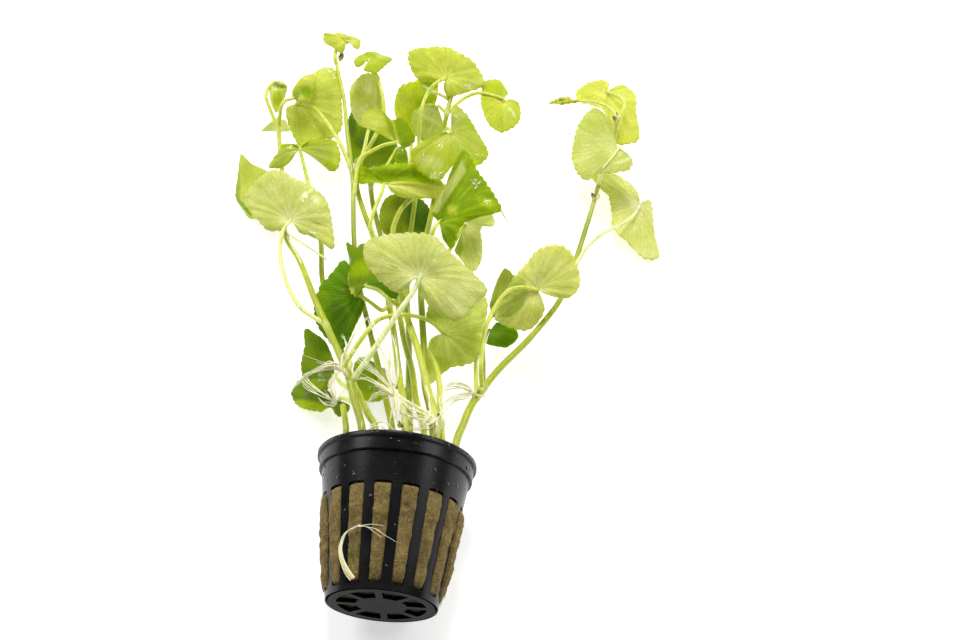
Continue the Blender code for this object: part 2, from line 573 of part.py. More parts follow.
def make_pot(frame, collection, cutters):
    """The net pot: a turned cup with sixteen slots in its wall and eight openings in its base."""
    shoulder = POT_HEIGHT - COLLAR_HEIGHT
    lip = POT_HEIGHT - LIP_HEIGHT
    inside_top = BODY_TOP_RADIUS - WALL + MOUTH_FLARE
    profile = [
        (0, WALL), (BASE_RADIUS - WALL, WALL), (inside_top, shoulder), (RIM_RADIUS - LIP_WIDTH, POT_HEIGHT),
        (RIM_RADIUS - LIP_EDGE, POT_HEIGHT), (RIM_RADIUS, POT_HEIGHT - LIP_EDGE), (RIM_RADIUS, lip),
        (COLLAR_RADIUS, lip), (COLLAR_RADIUS - COLLAR_TAPER, shoulder), (BODY_TOP_RADIUS, shoulder),
        (BASE_RADIUS, 0), (0, 0)]
    pot = turned("net_pot", profile, "net_pot", collection)
    slots = merged([slot_block(slot, CUTTER_EXCESS, 0) for slot in range(SLOTS)])
    holes = merged([base_hole(hole) for hole in range(BASE_HOLES)])
    join(pot, hidden_tool("slot_cutter", to_mesh("slot_cutter", slots), cutters), "DIFFERENCE")
    join(pot, hidden_tool("hole_cutter", to_mesh("hole_cutter", holes), cutters), "DIFFERENCE")
    for cutter in cutters.objects:
        cutter.matrix_world = in_metres(frame)
    pot.matrix_world = in_metres(frame)
    pot.modifiers.new("flat_faces", "WEIGHTED_NORMAL")
    return pot


def in_metres(frame):
    placed = frame.copy()
    placed.translation = frame.translation * MM
    return placed


def make_rockwool(frame, collection, cutters):
    """The plug of rockwool: a tapered core with a pad that swells out through each slot."""
    low = WALL + GAP
    inner_low = body_radius(low) - WALL - 2 * GAP
    inner_high = body_radius(PLUG_TOP) - WALL - 2 * GAP
    plug = turned("rockwool", [(0, PLUG_TOP), (inner_high, PLUG_TOP), (inner_low, low), (0, low)],
                  "rockwool", collection)
    pads = []
    for slot, bulge in enumerate(PLUG_BULGES):
        pad = slot_block(slot, bulge, GAP)
        outward = Vector((math.cos(slot_turn(slot)), math.sin(slot_turn(slot)), 0))
        outside = (BASE_RADIUS - WALL) * MM
        edges = [e for e in pad.edges if min(v.co.dot(outward) for v in e.verts) > outside]
        bmesh.ops.bevel(pad, geom=edges, offset=PAD_BEVEL * MM, segments=1, affect="EDGES")
        pads.append(pad)
    join(plug, hidden_tool("pads", to_mesh("pads", merged(pads)), cutters), "UNION")
    cutters.objects["pads"].matrix_world = in_metres(frame)
    plug.matrix_world = in_metres(frame)
    plug.modifiers.new("flat_faces", "WEIGHTED_NORMAL")
    return plug


def mouth_point(frame, across, up):
    """A point just above the rockwool in the pot's mouth."""
    return frame @ Vector((across, -up, PLUG_TOP + NODE_GAP))


def stem_route(stem, frame):
    points = [mouth_point(frame, *stem.mouth)] + [place(spot) for spot in stem.spots]
    return smooth_route(points)


def make_stem(stem, frame, collection):
    """A stem, tapering away from the pot."""
    mesh = tube_mesh(stem.name, stem_route(stem, frame), stem.radii)
    return add_object(stem.name, mesh, "stem", collection)


def stalk_root(leaf, stems, frame):
    """Two points where a leaf's stalk starts, standing straight off the side or the end of its stem."""
    name, spot = leaf.grows_from
    stem = stems[name]
    route = stem_route(stem, frame)
    index = min(round(spot * ROUTE_STEPS), len(route) - 1)
    here = route[index]
    along = (here - route[index - 1]).normalized()
    radius = stem.radii[0] + (stem.radii[1] - stem.radii[0]) * index / (len(route) - 1)
    if index == len(route) - 1:
        return [here + along * NODE_GAP, here + along * (NODE_GAP + STALK_LEAD)]
    towards = place(leaf.stalk[-1]) - here
    outward = (towards - along * towards.dot(along)).normalized()
    return [here + outward * (radius + NODE_GAP), here + outward * (radius + NODE_GAP + STALK_LEAD)]


def lean_normal(lean):
    tilt = math.radians(lean[0])
    towards = math.radians(lean[1])
    return Vector((math.sin(tilt) * math.sin(towards), math.sin(tilt) * math.cos(towards), math.cos(tilt)))


def margin_points(leaf):
    """The points of a leaf's margin, in order round its hub."""
    points = []
    for point in leaf.margin:
        lift = point[2] if len(point) > 2 else 0
        points.append(on_plane(point[0], point[1], lift, place(leaf.hub), lean_normal(leaf.lean)))
    return points


def blade_mesh(leaf):
    """A leaf's blade as an open fan: a grid whose one side is gathered at the hub."""
    hub = place(leaf.hub)
    normal = lean_normal(leaf.lean)
    edge = evenly(smooth_route(margin_points(leaf)), BLADE_SECTORS + 1)
    work = bmesh.new()
    bmesh.ops.create_grid(work, x_segments=BLADE_RINGS, y_segments=BLADE_SECTORS, size=1)
    for vertex in work.verts:
        out = (vertex.co.x + 1) / 2
        side = round((vertex.co.y + 1) / 2 * BLADE_SECTORS)
        swell = 4 * leaf.cup * (out - out ** 2)
        vertex.co = (hub + (edge[side] - hub) * out + normal * swell) * MM
    bmesh.ops.remove_doubles(work, verts=work.verts, dist=WELD_DISTANCE)
    mesh = to_mesh(leaf.name, work)
    mesh.shade_smooth()
    return mesh


def make_leaf(leaf, stems, frame, collection, cutters):
    """A leaf: a thin blade, joined to a stalk that runs on a little way into it."""
    blade = add_object(leaf.name, blade_mesh(leaf), "leaf", collection)
    skin = blade.modifiers.new("thickness", "SOLIDIFY")
    skin.thickness = BLADE_THICKNESS * MM
    skin.offset = 0
    hub = place(leaf.hub)
    far = margin_points(leaf)[len(leaf.margin) // 2]
    into_blade = hub + (far - hub).normalized() * STALK_IN_BLADE
    points = stalk_root(leaf, stems, frame) + [place(spot) for spot in reversed(leaf.stalk)] + [hub, into_blade]
    radii = [leaf.stalk_radius * share for share in STALK_TAPER]
    stalk = hidden_tool(leaf.name + "_stalk", tube_mesh(leaf.name + "_stalk", smooth_route(points), radii), cutters)
    join(blade, stalk, "UNION", "MANIFOLD")
    flat = blade.modifiers.new("flat_faces", "DECIMATE")
    flat.decimate_type = "DISSOLVE"
    flat.angle_limit = FLAT_ANGLE
    return blade


def ball_mesh(name, middle, radii):
    """A rough ball, or an egg when its three radii differ."""
    work = bmesh.new()
    bmesh.ops.create_icosphere(work, subdivisions=1, radius=1)
    for vertex in work.verts:
        scaled = Vector([part * radius for part, radius in zip(vertex.co, radii)])
        vertex.co = (middle + scaled) * MM
    mesh = to_mesh(name, work)
    mesh.shade_smooth()
    return mesh


def make_roots(root, collection, cutters):
    """A bundle of roots: strands joined at a small knot."""
    knot = place(root.start)
    size = root.radius * KNOT_SIZE
    radii = [root.radius * share for share in ROOT_TAPER]
    bundle = add_object(root.name, ball_mesh(root.name, knot, (size, size, size)), "root", collection)
    for number, strand in enumerate(root.strands):
        name = f"{root.name}_strand_{number}"
        route = smooth_route([knot] + [place(spot) for spot in strand])
        join(bundle, hidden_tool(name, tube_mesh(name, route, radii), cutters), "UNION")
    return bundle


def make_root_loop(frame, collection):
    """The loop of root that lies on the rockwool, out through one slot."""
    points = []
    for degrees, height, clearance in LOOP_ROUTE:
        angle = math.radians(degrees)
        radius = body_radius(height) + clearance
        points.append(frame @ Vector((radius * math.sin(angle), -radius * math.cos(angle), height)))
    mesh = tube_mesh("root_loop", smooth_route(points), LOOP_RADII)
    return add_object("root_loop", mesh, "root", collection)


def make_buds(collection):
    """The bud below the tip leaf, and the young buds at the runner's end."""
    tip = ball_mesh("bud_tip", place(TIP_BUD), TIP_BUD_RADII)
    runner = tube_mesh("buds_runner", smooth_route([place(spot) for spot in RUNNER_BUDS]), RUNNER_BUD_RADII)
    return [add_object("bud_tip", tip, "bud", collection), add_object("buds_runner", runner, "bud", collection)]


def centre_on_footprint(pieces, plant):
    """Moves the plant so that its origin is on the table, below the middle of its box."""
    bpy.context.view_layer.update()
    view = bpy.context.evaluated_depsgraph_get()
    corners = []
    for piece in pieces:
        seen = piece.evaluated_get(view)
        corners += [seen.matrix_world @ vertex.co for vertex in seen.data.vertices]
    low = [min(corner[axis] for corner in corners) for axis in range(3)]
    high = [max(corner[axis] for corner in corners) for axis in range(3)]
    plant.location = (-(low[0] + high[0]) / 2, -(low[1] + high[1]) / 2, -low[2])


def main():
    for thing in list(bpy.data.objects):
        bpy.data.objects.remove(thing)
    collection = bpy.data.collections.new("brazilian_pennywort")
    cutters = bpy.data.collections.new("cutters")
    for group in (collection, cutters):
        bpy.context.scene.collection.children.link(group)
    cutters.hide_render = True

    frame = pot_frame()
    stems = {stem.name: stem for stem in STEMS}
    pieces = [make_pot(frame, collection, cutters), make_rockwool(frame, collection, cutters)]
    pieces += [make_stem(stem, frame, collection) for stem in STEMS]
    pieces += [make_leaf(leaf, stems, frame, collection, cutters) for leaf in LEAVES]
    pieces += [make_roots(root, collection, cutters) for root in ROOTS]
    pieces.append(make_root_loop(frame, collection))
    pieces += make_buds(collection)

    plant = bpy.data.objects.new("plant", None)
    collection.objects.link(plant)
    for thing in list(collection.objects) + list(cutters.objects):
        if thing is not plant:
            thing.parent = plant
    centre_on_footprint(pieces, plant)


main()
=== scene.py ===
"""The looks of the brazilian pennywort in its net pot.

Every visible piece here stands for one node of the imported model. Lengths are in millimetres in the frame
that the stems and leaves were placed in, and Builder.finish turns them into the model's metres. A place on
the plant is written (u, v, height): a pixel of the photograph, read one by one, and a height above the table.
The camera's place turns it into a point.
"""

import json
import math
import random
from typing import NamedTuple

import bpy
import numpy as np
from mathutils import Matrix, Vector, noise


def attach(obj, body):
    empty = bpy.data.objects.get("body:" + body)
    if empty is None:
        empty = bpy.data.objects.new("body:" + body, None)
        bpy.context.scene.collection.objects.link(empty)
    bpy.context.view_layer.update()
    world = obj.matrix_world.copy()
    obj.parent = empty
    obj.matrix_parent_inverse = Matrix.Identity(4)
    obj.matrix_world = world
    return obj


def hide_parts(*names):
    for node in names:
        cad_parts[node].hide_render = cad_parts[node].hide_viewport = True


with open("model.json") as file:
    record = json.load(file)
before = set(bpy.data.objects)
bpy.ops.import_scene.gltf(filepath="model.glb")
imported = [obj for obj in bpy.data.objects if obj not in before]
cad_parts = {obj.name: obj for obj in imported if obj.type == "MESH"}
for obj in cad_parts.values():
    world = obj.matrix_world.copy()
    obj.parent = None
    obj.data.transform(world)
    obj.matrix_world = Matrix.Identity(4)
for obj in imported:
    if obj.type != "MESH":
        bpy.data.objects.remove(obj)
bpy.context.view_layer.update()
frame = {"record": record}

MM = 0.001

# The photograph's camera, and its picture in pixels
CAMERA_PLACE = np.array((30.7, -209.9, 443.9))
CAMERA_DIPS = math.radians(53)
FOCAL_LENGTH_PIXELS = 1500
PICTURE_SIZE = (960, 640)
SENSOR_WIDTH = 36

# The net pot
POT_HEIGHT = 48.7
RIM_RADIUS = 26.0
COLLAR_RADIUS = 25.1
BODY_TOP_RADIUS = 24.0
BASE_RADIUS = 17.7
LIP_HEIGHT = 1.8
COLLAR_HEIGHT = 6.0
SHOULDER = POT_HEIGHT - COLLAR_HEIGHT
WALL = 1.1
POT_YAW = math.radians(4.5)
SLOTS = 16
SLOT_TOP = 33.2
SLOT_BOTTOM = 1.9
SLOT_ROUNDING = 0.7
SLOT_STEP = 2 * math.pi / SLOTS
SLOT_MIDDLE = (SLOT_TOP + SLOT_BOTTOM) / 2
LIP_BOTTOM = POT_HEIGHT - LIP_HEIGHT
RIB_WIDTH = 3.2
RIB_TURN = math.radians(7.8)
BASE_HOLES = 8
BASE_HOLE_RADII = (8.1, 14.2)
SPOKE_WIDTH = 2.2
BASE_OVERLAP = 0.25
POT_TINT = (0.01, 0.01, 0.01)
SHARP_EDGE = math.radians(38)

# How finely the pot is drawn, and the heights of its rows below and above the slots
SLOT_COLUMNS = 8
RIB_COLUMNS = 4
SLOT_ROWS = 14
HOLE_COLUMNS = 6
SPOKE_COLUMNS = 2
FOOT_ROWS = (0.0, 1.5)
BAND_ROWS = (36.0, 39.5, SHOULDER)

# Water drops on the pot: how many, how far round from straight up and in which bands of height they lie, and
# the least and most of their radii
DROPS = 70
DROP_REACH = 80
DROP_BANDS = [(SLOT_TOP + 1, SHOULDER - 0.8), (SHOULDER + 0.7, LIP_BOTTOM - 0.6),
              (LIP_BOTTOM + 0.5, LIP_BOTTOM + 1.2), (SLOT_BOTTOM, SLOT_TOP)]
DROP_RADII = (0.18, 0.5)

# The rockwool plug, and how far it bulges out through each slot: from the pot's left side over its upper side
# to its right side, and back below
PLUG_TOP = 44.0
PLUG_BOTTOM = WALL + 0.3
PLUG_BULGES = (1.4, 1.0, 0.6, 0.4, 0.4, 0.7, 1.2, 1.8, 1.6, 0.8, 0.3, 0.2, 0.2, 0.3, 0.9, 1.5)
PLUG_COLUMNS = 352
PLUG_ROWS = 96
PLUG_TOP_RINGS = 16
WOOL_TINT = np.array((0.285, 0.205, 0.072))

# Loose fibres on the wool: how many, and the least and most of their lengths, radii and shades
FIBRES = 900
FIBRE_LENGTHS = (1.2, 3.2)
FIBRE_RADII = (0.045, 0.085)
FIBRE_SHADES = (0.6, 2.0)

# The blades of the leaves. Waves and scallops are smaller where a leaf's margin is shorter than the full
# ones, and a blade has at least the fewest scallops and veins.
BLADE_COLUMNS = 151
BLADE_RINGS = 16
BLADE_THICKNESS = 0.34
RIM_THINNING = 0.45
FEWEST = 5
SCALLOP_LENGTH = 2.9
SCALLOP_DEPTH = 0.65
QUILT_DEPTH = 0.09
VEIN_SPACING = 7.5
PALE_STAR_RADIUS = 3.4
PALE_STAR_STRENGTH = 0.45
WET_PATCH = 0.17
DRYNESS = 0.04
FULL_RIPPLE_MARGIN = 60
FULL_SCALLOP_MARGIN = 70

# Stems and stalks: where a stem's route starts above the rockwool, how far its end lies inside, how much and
# how far it swells at a joint, and where a stalk ends, as steps along the blade and above it from the hub
STEM_START = PLUG_TOP + 0.9
STEM_BURIED = 3.0
JOINT_SWELLING = 0.15
JOINT_LENGTH = 1.3
JOINT_COLOUR_LENGTH = 0.9
STEM_SIDES = 14
STALK_RADIUS = 0.8
STALK_ENDS = [(-0.5, 0.3), (0.9, 0.1), (2.4, -0.02)]
ROUTE_STEPS = 8

# Roots: the radius of most bundles, the least and most of their finer strands' radii, and where along a hair
# its points lie
ROOT_RADIUS = 0.45
TWIN_RADII = (0.12, 0.24)
HAIR_RADII = (0.09, 0.15)
HAIR_SHARES = (0, 0.35, 0.7, 1)
FINE_RADII = (0.14, 0.24)
LOOP_RADII = (0.17, 0.24)
LOOP_HAIR_RADIUS = 0.14

# Where the random draws of some parts start, and what is added to a stem's or leaf's number for its noise
DROP_SEED, FIBRE_SEED, LOOP_SEED, BUD_SEED = 41, 11, 5, 23
STEM_SEED, LEAF_SEED = 0.5, 0.7


class Stem(NamedTuple):
    name: str
    mouth: tuple
    radii: tuple
    spots: list


class Leaf(NamedTuple):
    name: str
    hub: tuple
    lean: tuple
    margin: list
    stalk: list
    grows_from: tuple
    cup: float = 1.0
    stalk_radius: float = STALK_RADIUS


class Root(NamedTuple):
    name: str
    start: tuple
    strands: list
    radius: float
    fine: list


class Look(NamedTuple):
    """How a leaf looks: the side that is seen, the far side, its stalk, its waviness and its marks, some of
    which are painted highlights and painted shade.

    A mark is (u, v, half length, half width, degrees, colour, strength), an ellipse at a pixel of the
    photograph, or (corners, colour, strength), a patch with straight sides and a crisp edge.
    A crease is (u, v, u, v, rise): the blade bends along the line between two pixels, and rises beside it.
    A wet patch is (u, v, half length, half height).
    """
    seen: str
    far: str
    stalk: str = "stalk"
    ripple: float = 0.5
    marks: tuple = ()
    creases: tuple = ()
    wet: tuple = ()


# A stem leaves the pot's mouth at (across, up) from the pot's axis, and then runs through its places. Its
# radii are those at its two ends.
STEMS = [
    Stem("stem_left", (-11.5, 10.5), (1.35, 0.8), [(362, 430, 39), (353, 395, 38), (347, 372, 37),
        (333, 340, 36), (315, 300, 34), (300, 262, 31), (286, 237, 27), (281, 205, 24), (282, 172, 23),
        (280, 150, 22), (278, 119, 21)]),
    Stem("stem_second", (-6.5, 8), (1.2, 0.9), [(375, 428, 34), (368, 414, 33), (352, 380, 28),
        (338, 340, 20), (323, 285, 19), (321, 243, 20), (316, 215, 21)]),
    Stem("stem_tip", (-1.5, 5), (1.2, 0.7), [(392, 430, 31), (386, 400, 27), (372, 340, 21), (358, 280, 18),
        (354, 240, 21), (353, 187, 25), (351, 165, 27), (347, 130, 30), (344, 100, 32), (340, 80, 33),
        (337, 66, 33)]),
    Stem("stem_fourth", (3, 8), (1.25, 0.9), [(405, 430, 33), (403, 400, 31), (399, 375, 28), (392, 320, 22),
        (382, 270, 18), (373, 237, 17), (365, 215, 17), (357, 188, 17), (357, 160, 17)]),
    Stem("stem_fifth", (8, 0), (1.2, 0.9), [(424, 430, 26), (416, 400, 23), (412, 370, 20), (404, 340, 17),
        (395, 290, 12), (381, 237, 11), (373, 205, 11), (370, 180, 12)]),
    Stem("stem_pale", (12, 12), (1.3, 0.9), [(437, 425, 39), (428, 390, 39), (418, 350, 38), (405, 310, 35),
        (398, 270, 30), (393, 234, 24), (396, 220, 21), (402, 208, 19), (412, 198, 17)]),
    Stem("stem_inner_right", (13, 5), (1.25, 0.9), [(431, 415, 32), (425, 385, 33), (424, 350, 33),
        (421, 290, 30), (424, 250, 26), (432, 210, 20), (439, 170, 18), (442, 140, 24), (446, 118, 29),
        (450, 101, 31), (452, 94, 31.3)]),
    Stem("stem_back", (5, -5), (1.2, 0.9), [(409, 400, 15), (409, 340, 11), (407, 290, 9), (410, 240, 9),
        (415, 200, 10), (418, 170, 12), (420, 156, 14)]),
    Stem("stem_right", (17.5, 3), (1.35, 0.8), [(457, 440, 29), (463, 425, 28), (470, 408, 27),
        (480, 393, 25), (500, 368, 22), (530, 338, 18), (560, 300, 14), (575, 262, 12), (590, 215, 11),
        (595, 198, 11), (599, 183, 11), (604, 166, 12), (609, 152, 14), (614, 139, 17), (616, 126, 21),
        (616, 114, 23)]),
    Stem("stem_base_left", (-16, 7), (1.1, 1.0), [(346, 430, 35), (343, 406, 33)]),
    Stem("stem_arched", (16, 9), (1.1, 0.8), [(440, 408, 37), (440, 390, 36), (437, 370, 34), (432, 358, 32),
        (427, 351, 30), (420, 347, 28)]),
]

# A leaf's hub is where its stalk meets the blade. Its lean is how steeply the blade tips, and towards which
# side: 0 is away from the pot, 90 to the right. A third number in the margin is how far that point stands off
# the blade's plane. After the stalk's places come the stem that it grows from and where along it, with whole
# numbers at the stem's own places. The last numbers are how far the blade swells, and the stalk's radius.
LEAVES = [
    Leaf("leaf_tip", (347, 42, 36), (5, 180), [(354, 49), (359, 51), (361, 45), (360, 40), (350, 36),
        (341, 33), (333, 35), (324, 36), (324, 44), (333, 49), (341, 54), (345, 49)], [(341, 45, 34.4),
        (336, 51, 34.4), (335, 58, 34.4)], ("stem_tip", 11)),
    Leaf("leaf_tip_small", (370, 61, 33), (15, 0), [(363, 65), (357, 67), (353, 62), (358, 56), (367, 52),
        (375, 52), (383, 55), (391, 57), (392, 60), (386, 66), (376, 73), (363, 71)], [(377, 76, 31),
        (383, 98, 29), (383, 118, 25), (372, 142, 21)], ("stem_fourth", 8.7)),
    Leaf("leaf_upper_left", (298, 104, 27), (18, 180), [(292, 96), (302, 80), (312, 73), (327, 66), (338, 72),
        (344, 86), (342, 97), (343, 125), (335, 138), (318, 141), (302, 147), (293, 137), (286, 118),
        (286, 108)], [(312, 107, 30), (326, 121, 30), (341, 145, 29)], ("stem_tip", 6.8)),
    Leaf("leaf_rolled_young", (292, 99, 35), (5, 90), [(292, 90), (299, 80), (306, 75), (314, 74), (317, 78),
        (314, 90), (311, 101), (300, 104)], [(285, 101, 33), (281, 108, 27)], ("stem_left", 10.7)),
    Leaf("leaf_left_middle", (300, 149, 30), (10, 180), [(330, 171), (338, 169), (341, 155), (335, 140),
        (320, 139), (308, 141), (300, 143, -6), (292, 144), (283, 144), (277, 153), (268, 167), (284, 167),
        (293, 159)], [(303, 162, 28), (307, 178, 25), (311, 195, 23)], ("stem_second", 7)),
    Leaf("leaf_curled_young", (276, 83, 28), (25, 180), [(269, 89), (270, 101), (276, 113), (282, 104),
        (286, 95), (288, 87), (284, 81)], [(269, 87, 28), (266, 97, 27), (270, 109, 25)], ("stem_left", 10.6),
        1.5),
    Leaf("leaf_left_sliver", (277, 121, 15), (8, 0), [(272, 121), (261, 131), (270, 131), (280, 132),
        (290, 130), (286, 120)], [(276, 126, 16)], ("stem_left", 10.3), 0.5, 0.6),
    Leaf("leaf_left_big", (290, 220, 36), (12, 180), [(283, 231), (268, 231), (258, 222), (246, 203),
        (246, 191), (264, 173), (281, 170), (293, 177), (310, 184), (327, 200), (333, 225), (334, 249),
        (318, 240), (300, 234)], [(283, 231, 37), (280, 250, 36), (284, 275, 35), (298, 305, 34)],
        ("stem_left", 4.4)),
    Leaf("leaf_left_behind", (272, 203, 17), (43, 270), [(262, 217), (250, 219), (243, 211), (236, 198),
        (237, 180), (239, 160), (242, 154), (251, 163), (264, 169), (278, 178), (284, 192)], [(278, 211, 19)],
        ("stem_left", 7.0), 0.5),
    Leaf("leaf_top_middle", (372, 119, 16.8), (25, 180), [(359, 126), (351, 112), (349, 97), (350, 85),
        (361, 74), (372, 72), (379, 74), (383, 92), (384, 108), (380, 121)], [(368, 132, 16), (364, 150, 16)],
        ("stem_fourth", 8.4)),
    Leaf("leaf_middle", (396, 142, 31), (10, 180), [(360, 130), (361, 119), (369, 111), (381, 110),
        (391, 119, 2), (400, 118, -3), (408, 126, -5), (416, 140, -6), (410, 148, -5), (403, 149, -3)],
        [(384, 145, 31), (370, 152, 30), (359, 161, 29)], ("stem_tip", 5.8)),
    Leaf("leaf_middle_back", (398, 149, 12), (10, 180), [(393, 155), (395, 162), (402, 166), (408, 165),
        (408, 156), (406, 149), (403, 145)], [(390, 160, 12), (382, 172, 12)], ("stem_fifth", 7.9), 0.5, 0.6),
    Leaf("leaf_back_dark", (374, 167, 5.6), (8, 0), [(362, 170), (351, 160), (346, 140), (349, 116),
        (360, 104), (376, 112), (390, 128), (398, 147), (396, 162), (387, 170)], [(374, 172, 8)],
        ("stem_fifth", 7.6), 0.5),
    Leaf("leaf_behind_stems", (404, 240, 3.6), (3, 270), [(390, 238), (381, 230), (379, 214), (385, 199),
        (397, 193), (412, 196), (424, 201), (432, 213), (430, 228), (419, 238)], [(400, 262, 6.2)],
        ("stem_fifth", 5.3), 0.5),
    Leaf("leaf_top_right", (446, 78, 35), (15, 180), [(438, 84), (428, 81), (417, 79), (408, 63), (409, 51),
        (422, 47), (444, 46), (460, 53), (474, 61), (485, 80), (480, 89), (463, 94), (448, 97), (443, 88)],
        [(436, 83, 37), (427, 94, 35), (421, 112, 33), (419, 137, 25)], ("stem_back", 7)),
    Leaf("leaf_top_centre", (412, 139, 12), (35, 180), [(404, 133), (396, 118), (394, 103), (399, 87),
        (408, 82), (419, 79), (429, 73), (438, 79), (438, 95), (433, 112), (426, 130)], [(411, 155, 13),
        (411, 178, 15)], ("stem_pale", 9)),
    Leaf("leaf_centre_upper", (438, 107, 26.7), (25, 180), [(430, 103), (421, 106), (413, 112), (411, 122),
        (414, 133), (421, 141), (432, 141), (440, 135), (443, 122)], [(442, 109, 28)],
        ("stem_inner_right", 9.3), 0.5),
    Leaf("leaf_right_small", (503, 101, 31), (10, 90), [(509, 94), (504, 84), (496, 79), (483, 82), (480, 93),
        (481, 107), (487, 122), (499, 132), (511, 130), (520, 121), (521, 106), (516, 101)], [(494, 96, 33),
        (478, 93, 33), (463, 99, 32)], ("stem_inner_right", 9.2)),
    Leaf("leaf_right_upper", (451, 133, 34), (8, 180), [(438, 134), (426, 138), (412, 147), (412, 161),
        (423, 172), (437, 180), (447, 172), (455, 164), (475, 166), (489, 154), (480, 133), (468, 113),
        (456, 104), (451, 112)], [(448, 128, 33)], ("stem_inner_right", 8.2)),
    Leaf("leaf_folded", (385, 184, 23), (12, 180), [(361, 186), (353, 178), (357, 165), (369, 169),
        (386, 166), (404, 165), (422, 167), (436, 178), (448, 187, 3), (441, 198), (424, 201), (404, 200),
        (391, 193)], [(382, 192, 25), (375, 208, 24), (370, 225, 22)], ("stem_fourth", 5.7), 1.5),
    Leaf("leaf_right_bright", (439, 222, 33), (15, 180), [(443, 240), (453, 250), (462, 228), (479, 219),
        (501, 213), (497, 200), (480, 173), (465, 150), (453, 167, 1), (444, 188, 3), (434, 203, 2),
        (431, 216)], [(434, 229, 33), (431, 238, 31)], ("stem_inner_right", 4.6)),
    Leaf("leaf_right_low", (464, 226, 23), (20, 90), [(454, 251), (463, 263), (473, 272), (481, 262),
        (483, 245), (482, 228), (494, 226), (495, 218), (487, 211), (472, 216)], [(457, 238, 23),
        (446, 256, 23)], ("stem_inner_right", 3.9)),
    Leaf("leaf_front", (420, 277, 47), (10, 180), [(408, 287), (397, 293), (382, 283), (366, 265), (363, 249),
        (370, 239), (400, 232), (431, 234), (453, 254), (487, 287), (478, 303), (461, 320), (447, 319),
        (431, 308), (422, 294)], [(413, 292, 46), (397, 314, 45), (375, 348, 42)], ("stem_left", 2.5), 2.0,
        1.0),
    Leaf("leaf_front_under", (443, 333, 27), (20, 180), [(429, 340), (426, 356), (428, 385), (440, 376),
        (452, 368), (466, 366), (480, 358), (483, 335), (488, 302), (472, 291), (448, 292), (430, 303),
        (425, 318)], [(431, 322, 37), (415, 316, 40), (398, 315, 41), (378, 320, 40), (362, 338, 39)],
        ("stem_left", 3.2)),
    Leaf("leaf_centre_left_top", (366, 286, 35), (15, 0), [(357, 297), (350, 292), (347, 278), (349, 262),
        (346, 242), (355, 245), (364, 240), (373, 255), (378, 276), (388, 281), (399, 291), (393, 297),
        (381, 293), (374, 288)], [(378, 290, 37), (390, 300, 38)], ("stem_pale", 4.0)),
    Leaf("leaf_centre_left", (360, 297, 28), (12, 180), [(366, 306), (356, 326), (347, 346), (338, 350),
        (325, 338), (316, 325), (314, 307), (320, 288), (332, 275), (343, 262), (352, 268), (362, 282)],
        [(370, 302, 26), (381, 310, 24)], ("stem_fourth", 4.2)),
    Leaf("leaf_base_left_upper", (335, 376, 20), (18, 270), [(334, 360), (326, 342), (315, 333), (305, 329),
        (304, 345), (301, 360), (302, 376), (309, 388), (322, 392), (331, 388)], [(342, 384, 25)],
        ("stem_second", 2.6)),
    Leaf("leaf_base_left", (338, 401, 12.9), (34.7, 270), [(329, 391), (316, 383), (303, 379), (294, 386),
        (291, 396), (299, 407), (318, 412), (330, 408), (338, 417), (347, 414), (350, 405)], [(344, 398, 19)],
        ("stem_second", 2.1)),
    Leaf("leaf_base_dark", (383, 371, 9), (25, 270), [(374, 362), (362, 357), (354, 364), (353, 378),
        (356, 392), (366, 401), (379, 402), (387, 394), (388, 380)], [(387, 382, 15)], ("stem_back", 1.1)),
    Leaf("leaf_runner_first", (537, 289, 25), (32, 180), [(542, 293), (553, 297), (568, 299), (579, 289),
        (580, 272), (570, 250), (555, 244), (537, 249), (528, 260), (514, 276), (500, 300), (494, 319),
        (511, 329), (528, 331), (540, 321), (545, 310), (542, 298)], [(523, 287, 28), (508, 291, 29),
        (496, 305, 30), (486, 328, 31), (481, 362, 31)], ("stem_right", 4.1)),
    Leaf("leaf_runner_behind", (492, 317, 13), (14, 180), [(489, 305), (496, 283), (505, 268), (515, 275),
        (524, 279), (527, 291), (523, 306), (511, 316), (500, 320)], [(484, 330, 14), (476, 358, 18)],
        ("stem_right", 3.8)),
    Leaf("leaf_runner_low", (490, 331, 10), (10, 180), [(486, 344), (497, 347), (508, 347), (517, 340),
        (518, 332), (508, 325), (497, 322)], [(484, 345, 12), (484, 365, 17)], ("stem_right", 4.3), 0.5, 0.6),
    Leaf("leaf_runner_top", (607, 94, 17), (6, 180), [(610, 84), (601, 80), (585, 84), (575, 94), (578, 103),
        (590, 107), (603, 112), (609, 127), (616, 146), (636, 144), (640, 134), (637, 112), (636, 97),
        (623, 86), (612, 89)], [(615, 95, 20), (622, 99, 22), (624, 107, 24)], ("stem_right", 14.7)),
    Leaf("leaf_runner_upper", (618, 149, 21), (6, 270), [(609, 119), (600, 109), (590, 109), (577, 126),
        (573, 141), (571, 158), (577, 174), (587, 180), (599, 174), (612, 174), (629, 170), (633, 160),
        (624, 153)], [(611, 159, 22), (602, 171, 20)], ("stem_right", 10.7)),
    Leaf("leaf_runner_lower", (639, 206, 3.5), (5, 120), [(640, 198), (634, 187), (614, 176), (590, 177),
        (599, 191), (607, 200), (610, 216), (612, 231), (626, 243), (644, 260, -1), (659, 258, -1),
        (655, 235), (653, 210), (651, 201), (644, 202)], [(634, 215, 7), (622, 224, 9), (604, 233, 12),
        (588, 246, 14), (579, 260, 14)], ("stem_right", 7.6)),
]

